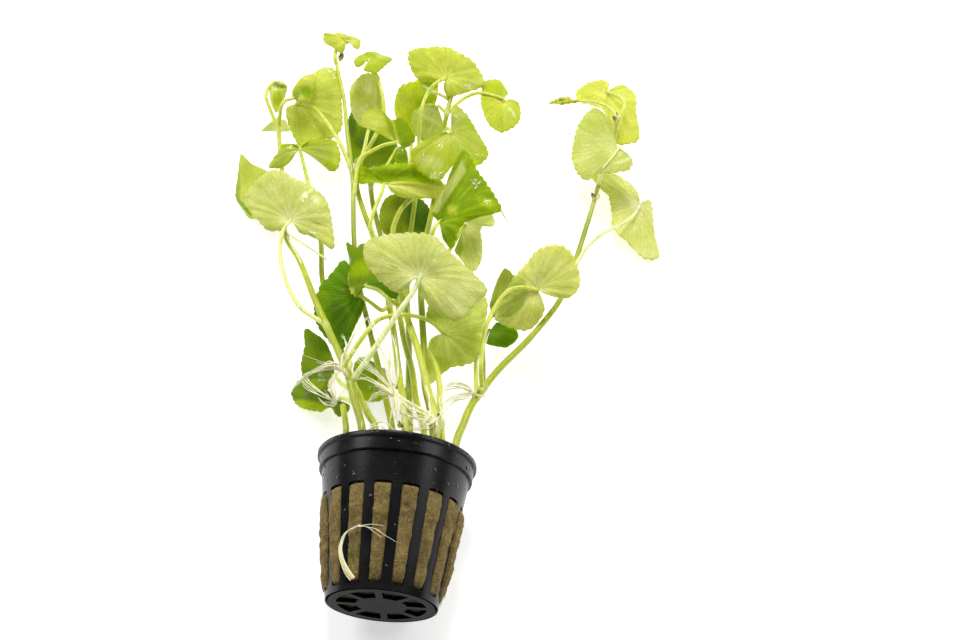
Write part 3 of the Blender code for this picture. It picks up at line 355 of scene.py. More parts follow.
# Each bundle of roots starts at a stem's joint, and its strands run from there. After their radius come finer
# strands, as a place where some start and the rest of each one's way.
ROOTS = [
    Root("roots_left", (336, 403, 31), [[(325, 395, 31), (313, 387, 31), (303, 378, 31)], [(330, 385, 32),
        (334, 376, 33), (340, 368, 33)]], 0.7, [((337, 402, 31), [[(326, 396, 32), (313, 386, 32),
        (304, 375, 32)], [(322, 397, 32), (308, 388, 31), (300, 380, 30)], [(331, 388, 33), (336, 376, 34),
        (346, 366, 35)], [(333, 405, 31), (326, 404, 30), (318, 399, 29)]])]),
    Root("roots_left_upper", (341, 370, 42), [[(328, 369, 42), (312, 374, 41), (292, 389, 38)],
        [(331, 363, 43), (316, 371, 42), (303, 377, 40)]], ROOT_RADIUS, [((343, 371, 42), [[(337, 364, 43),
        (324, 366, 43), (306, 375, 41), (291, 391, 38)], [(335, 366, 43), (320, 369, 42), (304, 376, 40),
        (296, 380, 39)], [(336, 373, 42), (334, 386, 41), (337, 399, 40)]]), ((341, 368, 42),
        [[(343, 356, 43), (349, 344, 44), (354, 333, 44)], [(344, 354, 44), (352, 338, 45), (362, 322, 45),
        (368, 316, 45)], [(346, 358, 43), (347, 344, 44), (343, 334, 43)]])]),
    Root("roots_centre", (394, 395, 42), [[(385, 380, 43), (370, 366, 44), (345, 342, 45)], [(386, 362, 44),
        (377, 340, 45), (368, 319, 45)], [(377, 384, 43), (361, 377, 43)], [(380, 393, 42), (368, 402, 41)],
        [(396, 408, 42), (398, 424, 42)]], ROOT_RADIUS, [((396, 393, 42), [[(399, 402, 43), (402, 414, 43),
        (404, 425, 42)], [(404, 403, 43), (413, 413, 43), (421, 424, 43)], [(408, 402, 43), (420, 411, 43),
        (434, 420, 43)], [(394, 405, 43), (391, 416, 42), (389, 427, 41)], [(400, 408, 42), (410, 420, 42),
        (416, 428, 42)]]), ((394, 392, 42), [[(392, 372, 44), (386, 348, 45), (372, 322, 45)],
        [(398, 372, 43), (397, 350, 43), (393, 335, 42)], [(388, 378, 43), (388, 362, 43), (390, 345, 43)],
        [(378, 376, 43), (362, 364, 44), (350, 350, 44)], [(384, 392, 42), (374, 394, 42), (368, 402, 41)],
        [(382, 386, 43), (370, 379, 43), (358, 379, 42)]]), ((370, 426, 44), [[(378, 422, 44), (386, 424, 44),
        (393, 429, 43)]]), ((366, 431, 44), [[(376, 427, 45), (384, 428, 44)]]), ((395, 392, 43),
        [[(398, 400, 44), (399, 409, 44), (398, 419, 43)], [(401, 399, 44), (401, 409, 44), (402, 419, 43)],
        [(396, 399, 44), (396, 408, 44), (394, 418, 43)], [(400, 402, 44), (404, 410, 44), (407, 418, 43)],
        [(399, 396, 44), (400, 404, 44), (397, 412, 44)]])]),
    Root("roots_mouth", (434, 423, 44), [[(425, 415, 44), (410, 408, 43), (399, 399, 42)], [(420, 420, 44),
        (404, 414, 43)]], 0.7, [((436, 422, 44), [[(428, 413, 44), (413, 405, 44), (400, 398, 43)],
        [(430, 408, 44), (428, 396, 44), (426, 384, 43)], [(424, 418, 44), (412, 416, 44), (399, 410, 43)],
        [(441, 412, 44), (440, 402, 43), (444, 392, 41)], [(430, 428, 43), (420, 429, 42), (408, 428, 42)]]),
        ((438, 418, 44), [[(432, 422, 45), (426, 426, 45), (420, 430, 44)]]), ((440, 412, 43),
        [[(443, 420, 44), (442, 428, 43), (438, 434, 42)]]), ((436, 420, 44), [[(437, 427, 45),
        (434, 433, 44)]]), ((430, 410, 44), [[(428, 418, 45), (422, 425, 45), (416, 430, 44)]])]),
    Root("roots_runner", (474, 393, 29), [[(463, 388, 30), (452, 386, 31), (446, 388, 31)], [(460, 396, 29),
        (446, 404, 29)]], ROOT_RADIUS, [((474, 392, 29), [[(464, 385, 31), (452, 384, 32), (441, 390, 32),
        (434, 402, 33)], [(462, 388, 31), (448, 389, 32), (438, 394, 32)], [(463, 394, 30), (450, 399, 31),
        (438, 409, 33), (428, 420, 36)], [(466, 398, 29), (454, 401, 30), (446, 408, 31)], [(466, 384, 31),
        (455, 382, 32), (447, 385, 32)]]), ((474, 394, 28), [[(480, 396, 28), (487, 396, 28)],
        [(474, 402, 27), (470, 412, 27)]])]),
]

# The loop of root that came out through a slot, and fine hairs beside it, as (degrees round from straight up,
# height up the pot, distance outside the pot's wall)
LOOP_ROUTE = [(-20, 18.4, 1.7), (-25, 17.8, 2.0), (-30, 16.7, 2.2), (-34.5, 14.4, 2.2), (-36, 11.5, 2.2),
    (-34, 8.2, 2.2), (-29, 5, 2.1), (-23, 2.5, 1.9)]
LOOP_HAIRS = [
    [(-24, 18, 1.9), (-14, 18.6, 1.6), (-6, 18.8, 1.5), (0.4, 18.5, 1.4)],
    [(-22, 18.2, 1.9), (-13, 18, 1.6), (-7, 16.6, 1.5), (0.3, 14.9, 1.4)],
    [(-13, 18, 1.6), (-4.7, 17.3, 1.6), (3, 15.6, 1.6), (13.7, 13.9, 1.4)],
]

# The bud under the top leaf
TIP_BUD = [(343, 53, 33), (341, 57, 33), (340, 61, 33)]

# The thin stalk of the runner's buds, and their scales as (u, v, height, length, width, heading in degrees)
RUNNER_BUDS = [(550, 103, 18), (556, 101, 18.2), (575, 101, 20), (590, 101.5, 22), (603, 104.5, 24),
    (612, 110, 24.5), (616, 117, 24)]
BUD_SCALES = [(551, 103, 18.2, 2.3, 1.3, 188), (554, 102, 18.5, 2.4, 1.4, 170),
    (557, 101, 18.7, 2.6, 1.6, 140), (558, 103, 18.5, 2.6, 1.5, 205), (561, 99.5, 19.0, 2.8, 1.9, 150),
    (562, 103, 19.0, 3.0, 2.0, 195), (565, 99, 19.8, 3.0, 2.1, 165), (567, 102, 19.8, 3.2, 2.2, 185),
    (569, 98.5, 19.6, 2.6, 1.6, 120), (571, 101, 20.2, 3.0, 1.9, 175), (574, 102, 20.3, 2.6, 1.4, 190),
    (577, 101, 20.6, 2.2, 1.2, 172)]

# Where the wool swells over a rib: the slot, its side, the lowest and highest point, and how far, as a share
# of half the slot
PLUG_SPREADS = [(1, -1, 12, 31, 0.45), (0, 1, 10, 29, 0.4), (6, 1, 18, 32, 0.45), (7, -1, 14, 30, 0.35),
                (5, 1, 22, 31, 0.2), (6, -1, 4, 12, 0.15)]

# Stains on the wool: a place as for the loop of root, how far it reaches, and its colour in linear light
WOOL_STAINS = [((18.1, 26.4, 0.5), 1.0, (0.11, 0.035, 0.015)), ((-28.7, 9.8, 0.5), 2.8, (0.17, 0.18, 0.03)),
               ((-3.0, 7.0, 0.5), 2.2, (0.20, 0.16, 0.05)), ((5.0, 31.0, 0.5), 2.4, (0.36, 0.28, 0.11)),
               ((33.0, 28.0, 0.5), 2.6, (0.38, 0.30, 0.12))]

# Colours as they look, out of 255
PALETTE = {
    "pale": (206, 208, 126), "pale_gold": (226, 226, 134), "paler": (225, 225, 146),
        "cream_green": (232, 237, 178), "pale_cool": (199, 203, 114), "light": (206, 208, 104),
        "lime": (218, 219, 98), "tip_green": (196, 201, 78), "yellow_green": (190, 197, 64),
        "mid": (194, 200, 74), "mid_cool": (204, 212, 90), "cool_pale": (222, 233, 128),
        "sunny": (202, 211, 64), "soft": (173, 186, 46), "fresh": (178, 194, 8), "lively": (157, 179, 2),
        "bright": (137, 163, 0), "green": (126, 150, 0), "leaf_green": (109, 133, 0), "dark": (100, 140, 0),
        "deep": (62, 94, 0), "grey_green": (177, 186, 88), "olive": (142, 148, 54), "stalk": (214, 220, 98),
        "pale_stalk": (230, 233, 150), "stem": (182, 190, 44), "stem_dark": (154, 166, 26),
        "stem_pale": (204, 210, 76), "brown": (118, 78, 30), "cream": (255, 251, 214),
        "root_tan": (240, 230, 168), "bud_yellow": (222, 214, 60),
}

LOOKS = {
    "leaf_tip": Look("tip_green", "bright", "stalk", 0.4, ((346, 47, 7, 2, 70, "soft", 0.7),
        (356, 44, 5, 6, 60, "light", 0.5)), ((347, 42, 350, 34, 0.16),)),
    "leaf_tip_small": Look("soft", "bright", "stalk", 0.3, ((372, 59, 12, 3, 0, "soft", 0.5),
        # The pale streak at (384, 57) is a painted highlight.
        (384, 57, 8, 2.5, 15, "pale", 0.7))),
    "leaf_upper_left": Look("mid_cool", "green", "stalk", 0.4, ((315, 128, 24, 9, 10, "mid", 0.7),
        (303, 95, 9, 10, 60, "soft", 0.8), (327, 70, 11, 3, -20, "pale", 0.7),
        (334, 104, 5, 22, 0, "light", 0.6)), (), ((332, 71, 6, 2.5),)),
    "leaf_rolled_young": Look("yellow_green", "green", "stalk", 0.2, ((306, 92, 8, 6, 50, "bright", 0.95),
        (309, 78, 9, 3, 10, "lime", 0.8), (296, 97, 3, 6, 20, "leaf_green", 0.8)), (), ((311, 80, 4, 4),)),
    "leaf_left_middle": Look("soft", "green", "stalk", 0.4, ((322, 152, 16, 9, -20, "grey_green", 0.7),
        (282, 157, 14, 6, -35, "grey_green", 0.7), (336, 152, 4, 14, 0, "mid", 0.6))),
    "leaf_curled_young": Look("pale_gold", "bright", "stalk", 0.1, ((277, 98, 5, 9, 0, "fresh", 0.9),
        (280, 86, 8, 2.4, 10, "leaf_green", 0.9), (284, 95, 2, 8, 0, "pale", 0.7)), (), ((272, 88, 3, 3),
        (283, 84, 4, 2))),
    "leaf_left_sliver": Look("pale", "mid", "stalk", 0.1),
    "leaf_left_big": Look("pale", "mid", "pale_stalk", 0.5, ((320, 224, 9, 1.0, 18, "brown", 0.5),
        # The two cream_green marks, a line at (306, 194) and a spot at (316, 199), are painted highlights
        # beside the wet patches.
        (306, 194, 13, 1.6, -40, "cream_green", 0.8), (325, 238, 10, 5, -40, "light", 0.5),
        (316, 199, 5, 4, 30, "cream_green", 0.8)), (), ((316, 199, 6, 5), (306, 193, 8, 4),
        (283, 176, 6, 2))),
    "leaf_left_behind": Look("mid", "dark", "stalk", 0.3, ((237, 182, 3, 26, 0, "bright", 0.9),
        (247, 170, 8, 14, 0, "soft", 0.6), (245, 208, 13, 1.3, 52, "dark", 0.95),
        (249, 207, 13, 1.2, 52, "pale", 0.9), (242, 209, 13, 1.2, 52, "fresh", 0.9))),
    "leaf_top_middle": Look("paler", "mid", "stalk", 0.3, ((358, 98, 9, 16, 80, "mid_cool", 0.6),
        # The cream_green streak at (369, 86) is a painted reflection.
        (369, 86, 4, 10, 0, "cream_green", 0.8), (380, 95, 3, 20, 0, "mid", 0.7)),
        ((372, 119, 373, 72, -0.18),), ((371, 82, 4, 7), (357, 104, 5, 4))),
    "leaf_middle": Look("soft", "green", "stalk", 0.4, ((373, 121, 14, 9, 0, "light", 0.8),
        (381, 128, 12, 1.5, 10, "soft", 0.7), (377, 119, 12, 1.5, 15, "soft", 0.6), (((393, 118), (401, 117),
        (409, 125), (417, 140), (411, 149), (402, 149)), "green", 0.95)), ((396, 142, 390, 117, 0.22),),
        ((381, 124, 6, 4),)),
    "leaf_middle_back": Look("bright", "dark", "stalk", 0.2, ((402, 157, 6, 4, 0, "leaf_green", 0.7),)),
    "leaf_back_dark": Look("green", "deep", "stem_dark", 0.3, ((365, 140, 12, 10, 0, "leaf_green", 0.9),
        (352, 125, 5, 12, 0, "deep", 0.8)), (), ((366, 140, 5, 4), (383, 152, 5, 4))),
    # The deep marks are painted shadow, cast by the leaves and stems above this low leaf.
    "leaf_behind_stems": Look("stem_dark", "dark", "stem_dark", 0.2, ((420, 214, 16, 22, 0, "deep", 0.95),
        (404, 206, 12, 16, 0, "deep", 0.5), (386, 216, 8, 16, 0, "grey_green", 0.3))),
    "leaf_top_right": Look("tip_green", "mid", "stalk", 0.6, ((420, 64, 13, 9, 0, "yellow_green", 0.5),
        (465, 74, 12, 14, 0, "light", 0.5), (430, 79, 10, 2.5, 20, "soft", 0.8),
        (470, 86, 10, 4, -25, "pale", 0.6)), (), ((467, 85, 6, 3),)),
    "leaf_top_centre": Look("sunny", "bright", "stalk", 0.5, ((402, 100, 6, 14, 70, "mid", 0.6), (((418, 79),
        (429, 71), (439, 78), (437, 88), (424, 88)), "green", 0.9), (412, 118, 8, 14, 60, "fresh", 0.7),
        (428, 100, 6, 12, 70, "lively", 0.8)), (), ((403, 88, 5, 3), (400, 103, 6, 6), (412, 108, 5, 7))),
    # The thin pale streak at (428, 118) is a painted highlight.
    "leaf_centre_upper": Look("grey_green", "mid", "stalk", 0.3, ((428, 118, 14, 2.0, 30, "pale", 0.7),
        (430, 134, 12, 7, 0, "pale_cool", 0.6)), (), ((434, 120, 5, 4), (425, 132, 6, 4))),
    "leaf_right_small": Look("yellow_green", "mid", "stalk", 0.4, ((492, 90, 10, 7, -30, "fresh", 0.6),
        (506, 114, 9, 12, 20, "mid", 0.7), (500, 118, 3, 12, 0, "soft", 0.5)), (), ((509, 112, 6, 9),
        (490, 112, 4, 8))),
    "leaf_right_upper": Look("soft", "fresh", "stalk", 0.5, ((470, 142, 15, 18, 60, "grey_green", 0.6),
        (428, 146, 17, 7, 0, "mid", 0.6), (431, 162, 13, 8, 15, "pale_cool", 0.85),
        (445, 140, 12, 5, -20, "light", 0.5), (((451, 112), (457, 103), (468, 112), (473, 120), (453, 132)),
        "grey_green", 0.95)), ((451, 133, 470, 166, -0.14),), ((425, 156, 8, 3), (441, 162, 10, 6),
        (438, 173, 8, 4), (459, 115, 11, 2.5))),
    "leaf_folded": Look("lively", "light", "stalk", 0.35, ((((384, 184), (394, 181), (450, 186), (442, 199),
        (424, 202), (402, 201), (390, 193)), "light", 0.97), (420, 198, 20, 3, 5, "mid", 0.7),
        # The green streaks at (398, 173) and (372, 178) darken the upper band: the leaf's darker top side,
        # with painted shade on it.
        (359, 177, 7, 10, 0, "fresh", 0.9), (398, 173, 30, 4, 4, "green", 0.9),
        (372, 178, 14, 2, 14, "green", 0.6)), ((378, 180, 448, 187, 0.24),)),
    "leaf_right_bright": Look("bright", "light", "stalk", 0.5, ((((462, 160), (467, 170), (437, 214),
        (432, 211), (440, 195)), "pale_cool", 0.95), (452, 209, 6, 5, 0, "sunny", 0.9),
        (476, 184, 10, 14, 60, "green", 0.8), (446, 236, 9, 10, 0, "leaf_green", 0.7),
        (487, 203, 12, 5, 30, "fresh", 0.8), (462, 196, 16, 1.5, -50, "lively", 0.8)),
        ((439, 222, 470, 168, 0.12),), ((474, 186, 10, 9), (487, 205, 7, 5))),
    "leaf_right_low": Look("pale", "green", "stalk", 0.3, ((470, 250, 9, 16, 0, "grey_green", 0.7),
        (483, 219, 14, 5, -15, "grey_green", 0.8), (458, 246, 5, 12, 0, "bright", 0.8)), (),
        ((473, 240, 2.5, 12),)),
    "leaf_front": Look("pale", "fresh", "cream_green", 0.5, ((388, 250, 24, 9, -8, "light", 0.45),
        (394, 267, 3, 1.0, 30, "deep", 0.6), (399, 271, 2, 0.9, 30, "deep", 0.5),
        (430, 296, 12, 14, 0, "light", 0.3), (462, 300, 14, 16, 0, "cream_green", 0.3)), (),
        ((425, 291, 3, 10),)),
    # The grey_green patch at (434, 311) and the soft band at (450, 304) are painted shadow, cast by the edge
    # of leaf_front above.
    "leaf_front_under": Look("cool_pale", "green", "stalk", 0.5, ((434, 311, 13, 9, 0, "grey_green", 0.9),
        (470, 340, 14, 26, 80, "light", 0.5), (436, 365, 9, 16, 90, "soft", 0.6),
        (450, 304, 24, 6, 30, "soft", 0.6))),
    # The thin pale line at (347, 280) is a painted highlight along the folded edge.
    "leaf_centre_left_top": Look("leaf_green", "green", "stalk", 0.3, ((347, 280, 1.6, 20, 0, "pale", 0.9),
        (362, 268, 9, 14, 70, "lively", 0.7), (351, 293, 4, 6, 0, "grey_green", 0.9), (((368, 279),
        (379, 276), (400, 291), (395, 299), (376, 292)), "dark", 0.97)), ((366, 286, 347, 250, -0.2),),
        ((349, 262, 3, 8), (358, 280, 4, 5))),
    "leaf_centre_left": Look("dark", "dark", "stalk", 0.5, ((341, 322, 21, 11, 75, "deep", 0.55),
        (322, 300, 7, 12, 0, "bright", 0.4), (350, 290, 10, 8, 0, "leaf_green", 0.7)),
        ((360, 297, 335, 345, 0.16),), ((357, 300, 4, 6),)),
    "leaf_base_left_upper": Look("leaf_green", "dark", "stalk", 0.4, ((318, 360, 12, 16, 90, "green", 0.6),
        (314, 384, 12, 5, 10, "lively", 0.6)), (), ((320, 376, 6, 6),)),
    # The fresh band at (312, 406) is a painted rim of light along the lower edge.
    "leaf_base_left": Look("leaf_green", "mid", "stalk", 0.3, ((312, 406, 20, 5, 12, "fresh", 0.95),
        (300, 390, 6, 8, 0, "green", 0.8)), (), ((308, 396, 8, 4),)),
    "leaf_base_dark": Look("lively", "deep", "stem_dark", 0.3, ((370, 380, 12, 12, 0, "green", 0.4),), (),
        ((369, 387, 6, 5),)),
    "leaf_runner_first": Look("pale_gold", "fresh", "stalk", 0.6, ((554, 272, 18, 20, 0, "paler", 0.55),
        # The grey_green patch with corners is painted shade, where leaf_runner_behind lies behind this thin
        # leaf and less light comes through.
        (527, 316, 16, 10, 0, "light", 0.6), (((503, 268), (515, 273), (525, 281), (528, 292), (523, 306),
        (511, 317), (498, 318)), "grey_green", 0.9)), ((537, 289, 538, 246, 0.08),)),
    "leaf_runner_behind": Look("olive", "green", "stalk", 0.3, ((508, 292, 10, 16, 70, "grey_green", 0.4),)),
    "leaf_runner_low": Look("dark", "deep", "stem_dark", 0.4, ((500, 335, 14, 8, 0, "leaf_green", 0.5),)),
    "leaf_runner_top": Look("lime", "fresh", "stalk", 0.5, ((625, 118, 12, 22, 90, "light", 0.4),
        (594, 98, 12, 4, 10, "tip_green", 0.7), (622, 96, 8, 6, 0, "paler", 0.5)),
        ((607, 94, 640, 128, 0.1),)),
    "leaf_runner_upper": Look("pale_cool", "fresh", "pale_stalk", 0.4,
        ((592, 128, 14, 10, 0, "grey_green", 0.5), (586, 160, 12, 12, 0, "pale", 0.5),
        (625, 160, 10, 2, -20, "cream_green", 0.7)), (), ((596, 140, 8, 3), (583, 146, 5, 2.5),
        (604, 133, 5, 3.5))),
    "leaf_runner_lower": Look("paler", "mid", "cream_green", 0.6, ((612, 192, 18, 6, 15, "pale_cool", 0.5),
        (648, 232, 8, 18, 80, "light", 0.5)), ((639, 206, 646, 244, 0.16),)),
}

# Each stem's colours from the pot to its tip
STEM_LOOKS = {
    "stem_left": ("stem_dark", "stem", "stem_pale", "stem_pale"),
    "stem_second": ("stem_pale", "stem", "stem"),
    "stem_tip": ("stem", "stem_dark", "stem_dark", "stem", "stem_pale"),
    "stem_fourth": ("stalk", "stem_pale", "stem", "stem_dark"),
    "stem_fifth": ("stem_pale", "stem", "stem_dark"),
    "stem_pale": ("stem_pale", "stem_pale", "stem", "stem"),
    "stem_inner_right": ("stem", "stem_dark", "stem_dark", "stem"),
    "stem_back": ("stem_dark", "stem_dark", "stem"),
    "stem_right": ("stem_pale", "stem", "stem", "stem", "stem", "stem_dark", "pale_stalk", "stalk"),
    "stem_base_left": ("stem_dark", "stem_dark", "stem_pale"),
    "stem_arched": ("stalk", "stalk", "stem_pale"),
}

# The joints with a brown sheath, as numbers of each stem's places
BROWN_NODES = {"stem_right": (9, 15)}

# Small scales and scars, as (u, v, height, length, width, heading in degrees, colour)
SHEATHS = {
    "stem_right": [(593, 196, 12.6, 3.2, 1.5, 105, "brown"), (598, 197, 12.6, 3.0, 1.5, 62, "root_tan"),
        (615, 119, 24.2, 3.0, 1.5, 120, "brown"), (619, 117, 24.2, 2.6, 1.4, 50, "root_tan"),
        (473, 394, 27.5, 3.4, 1.6, 150, "root_tan"), (479, 391, 27.2, 2.4, 1.3, 60, "olive")],
    "stem_pale": [(435, 419, 41, 4.2, 2.6, 100, "root_tan"), (438, 417, 41, 3.0, 1.6, 70, "brown")],
    "stem_fourth": [(399, 424, 36.2, 2.4, 1.4, 95, "brown"), (403, 425, 35.8, 2.2, 1.2, 40, "olive")],
    "stem_left": [(345, 372, 38.8, 4.6, 1.9, 115, "root_tan"), (350, 366, 38.6, 4.0, 1.6, 75, "pale_stalk")],
}

# Thin stalks that end behind leaves, as (radius, places)
SPARE_STALKS = {
    "stem_inner_right": [(0.68, [(451, 101, 31), (441, 95, 31), (431, 91, 31), (424, 86, 31)])],
    "stem_left": [(0.36, [(286, 233, 27), (294, 238, 34), (310, 248, 36), (326, 259, 36)]), (0.32,
        [(286, 234, 27), (291, 244, 33), (297, 254, 34), (301, 263, 34)])],
}

# A drawn-out point of a blade
SPIKES = {"leaf_right_bright": [(490, 195, 36.2), (500, 209, 34.5), (508, 223, 32.5)]}

# The studio's lights, as (name, place, diameter, watts). Lengths are in metres, and they all face the plant.
GLINTS = [(-0.5, 0.7, 0.72), (-0.09, 0.69, 0.84), (0.31, 0.7, 0.84), (0.55, 0.7, 0.72)]
LIGHTS = [("key", (-0.65, 0.25, 0.65), 0.5, 3.2), ("fill", (0.75, 0.1, 0.6), 0.5, 2.7),
          ("back", (0.0, 0.47, 1.06), 0.36, 5.2)]
LIGHTS += [(f"glint_{number}", spot, 0.15, 1.1) for number, spot in enumerate(GLINTS)]
WORLD_LIGHT = 0.12
FLOOR_GLOW = 0.58
FLOOR_HALF_SIZE = 4.0


def linear(name):
    """A colour of the palette in linear light."""
    parts = [c / 255 for c in PALETTE[name]]
    return np.array([c / 12.92 if c <= 0.04045 else ((c + 0.055) / 1.055) ** 2.4 for c in parts])


def sight_line(u, v):
    """The direction from the camera through a pixel, scaled to fall one millimetre."""
    across = (u - PICTURE_SIZE[0] / 2) / FOCAL_LENGTH_PIXELS
    down = (v - PICTURE_SIZE[1] / 2) / FOCAL_LENGTH_PIXELS
    forward = math.cos(CAMERA_DIPS) - down * math.sin(CAMERA_DIPS)
    fall = math.sin(CAMERA_DIPS) + down * math.cos(CAMERA_DIPS)
    return np.array((across / fall, forward / fall, -1))


def place(spot):
    """The point that a place (u, v, height) stands for."""
    u, v, height = spot
    return CAMERA_PLACE + sight_line(u, v) * (CAMERA_PLACE[2] - height)


def places(spots):
    """The points that places stand for."""
    return [place(spot) for spot in spots]


def on_plane(u, v, lift, middle, normal):
    """Where the sight line through a pixel meets a plane, moved along that line to be higher by lift."""
    line = sight_line(u, v)
    fall = normal @ (middle - CAMERA_PLACE) / (normal @ line)
    return CAMERA_PLACE + line * (fall - lift)


def pixels(points):
    """Where points lie in the photograph."""
    away = np.asarray(points, float) - CAMERA_PLACE
    sine, cosine = math.sin(CAMERA_DIPS), math.cos(CAMERA_DIPS)
    depth = away[:, 1] * cosine - away[:, 2] * sine
    down = -away[:, 1] * sine - away[:, 2] * cosine
    return np.stack([PICTURE_SIZE[0] / 2 + FOCAL_LENGTH_PIXELS * away[:, 0] / depth,
                     PICTURE_SIZE[1] / 2 + FOCAL_LENGTH_PIXELS * down / depth], axis=1)


def unit(vector):
    """The vector's direction, with a length of one."""
    return vector / np.linalg.norm(vector)


def smooth_step(low, high, value):
    """Goes smoothly from 0 at low to 1 at high."""
    t = np.clip((value - low) / (high - low), 0, 1)
    return t * t * (3 - 2 * t)


def smooth_route(points, steps=ROUTE_STEPS):
    """A Catmull-Rom curve through the points, with a number of steps between each two."""
    points = [np.asarray(p, float) for p in points]
    ends = [2 * points[0] - points[1]] + points + [2 * points[-1] - points[-2]]
    route = []
    for a, b, c, d in zip(ends, ends[1:], ends[2:], ends[3:]):
        for step in range(steps):
            t = step / steps
            route.append(0.5 * (2 * b + (c - a) * t + (2 * a - 5 * b + 4 * c - d) * t ** 2
                                + (3 * b - a - 3 * c + d) * t ** 3))
    return np.array(route + [points[-1]])


def lengths_along(route):
    """How far along a route each of its points is."""
    return np.concatenate([[0], np.cumsum(np.linalg.norm(np.diff(route, axis=0), axis=1))])


def evenly(route, count):
    """Count points spread evenly along a route, with its ends."""
    lengths = lengths_along(route)
    wanted = np.linspace(0, lengths[-1], count)
    return np.stack([np.interp(wanted, lengths, route[:, axis]) for axis in range(3)], axis=1)


def pot_axes():
    """The pot's own frame: where its base's middle is, and its right, down and along directions."""
    flare = RIM_RADIUS - BASE_RADIUS
    rise = math.asin(flare / math.hypot(POT_HEIGHT, flare))
    along = np.array((math.sin(POT_YAW) * math.cos(rise), math.cos(POT_YAW) * math.cos(rise), math.sin(rise)))
    right = np.array((math.cos(POT_YAW), -math.sin(POT_YAW), 0))
    return np.array((0, 0, BASE_RADIUS * math.cos(rise))), np.stack([right, np.cross(along, right), along])


POT_PLACE, POT_AXES = pot_axes()
SHIFT = POT_PLACE - np.array(frame["record"]["mounts"][0]["pos_m"]) / MM


def in_pot(points):
    """Points in the pot's own frame, turned into the plant's frame."""
    return POT_PLACE + np.asarray(points, float) @ POT_AXES


def body_radius(height):
    """The outside of the pot's tapered body."""
    return BASE_RADIUS + (BODY_TOP_RADIUS - BASE_RADIUS) * height / SHOULDER


def beside_wall(degrees, height, clearance):
    """A point outside the pot's wall in the pot's frame, at an angle from straight up."""
    angle = math.radians(degrees)
    radius = body_radius(height) + clearance
    return np.array((radius * math.sin(angle), -radius * math.cos(angle), height))


def ring_point(angle, radius, height):
    """A point round the pot's axis in the pot's frame."""
    return (radius * math.cos(angle), radius * math.sin(angle), height)


def grid_faces(rows, columns, closed=False):
    """The faces of a grid of points stored row by row, with each row closed into a ring or not."""
    last = columns if closed else columns - 1
    return [(r * columns + c, r * columns + (c + 1) % columns, (r + 1) * columns + (c + 1) % columns,
             (r + 1) * columns + c) for r in range(rows - 1) for c in range(last)]


def fan(middle, first, columns, turned_round=False):
    """The triangles between a middle point and a ring of points that starts at the first."""
    ring = [(first + c, first + (c + 1) % columns) for c in range(columns)]
    return [(middle, b, a) if turned_round else (middle, a, b) for a, b in ring]


def tube(route, radii, sides=10):
    """The points and faces of a closed tube along a route, and each point's share of the way."""
    end_reach, end_width, tip_reach = 0.6, 0.65, 0.3
    route = np.asarray(route, float)
    ahead = np.gradient(route, axis=0)
    ahead /= np.linalg.norm(ahead, axis=1)[:, None]
    side = unit(np.cross(ahead[0], (0.31, 0.17, 0.94)))
    lengths = lengths_along(route)
    stations = []
    for index, point in enumerate(route):
        side = unit(side - ahead[index] * (side @ ahead[index]))
        up = np.cross(ahead[index], side)
        stations.append((point, side, up, radii[index], lengths[index] / lengths[-1]))
    first, last = stations[0], stations[-1]
    start = (first[0] - ahead[0] * end_reach * first[3], first[1], first[2], end_width * first[3], 0)
    end = (last[0] + ahead[-1] * end_reach * last[3], last[1], last[2], end_width * last[3], 1)
    angles = np.linspace(0, 2 * math.pi, sides, endpoint=False)
    rings, shares = [], []
    for point, side, up, radius, share in [start] + stations + [end]:
        rings.append(point + radius * (np.cos(angles)[:, None] * side + np.sin(angles)[:, None] * up))
        shares += [share] * sides
    tips = [start[0] - ahead[0] * tip_reach * first[3], end[0] + ahead[-1] * tip_reach * last[3]]
    points = np.concatenate(rings + [np.array(tips)])
    tip_start, tip_end = len(points) - 2, len(points) - 1
    faces = grid_faces(len(rings), sides, closed=True)
    faces += fan(tip_start, 0, sides, turned_round=True) + fan(tip_end, tip_start - sides, sides)
    return points, faces, np.array(shares + [0, 1])


def blended(colours, shares):
    """Colours along a run, from a list of palette names spread evenly over it."""
    table = np.array([linear(name) for name in colours])
    steps = np.linspace(0, 1, len(table))
    return np.stack([np.interp(shares, steps, table[:, channel]) for channel in range(3)], axis=1)


def mixed(first, second, share):
    """Two colours mixed, with each point's share of the second."""
    share = np.asarray(share)[:, None]
    return first * (1 - share) + second * share


def mottled(points, scale, depth, seed=0.0):
    """A smooth brightness pattern over points, about 1."""
    shift = Vector((seed, seed, seed))
    return np.array([1 + depth * noise.noise(Vector(p) / scale + shift) for p in points])[:, None]


def jitter(draw, reach):
    """A small step in a random direction."""
    return np.array([draw.uniform(-reach, reach) for _ in range(3)])


def in_scene(name, data):
    """A new object in the scene."""
    made = bpy.data.objects.new(name, data)
    bpy.context.scene.collection.objects.link(made)
    return made


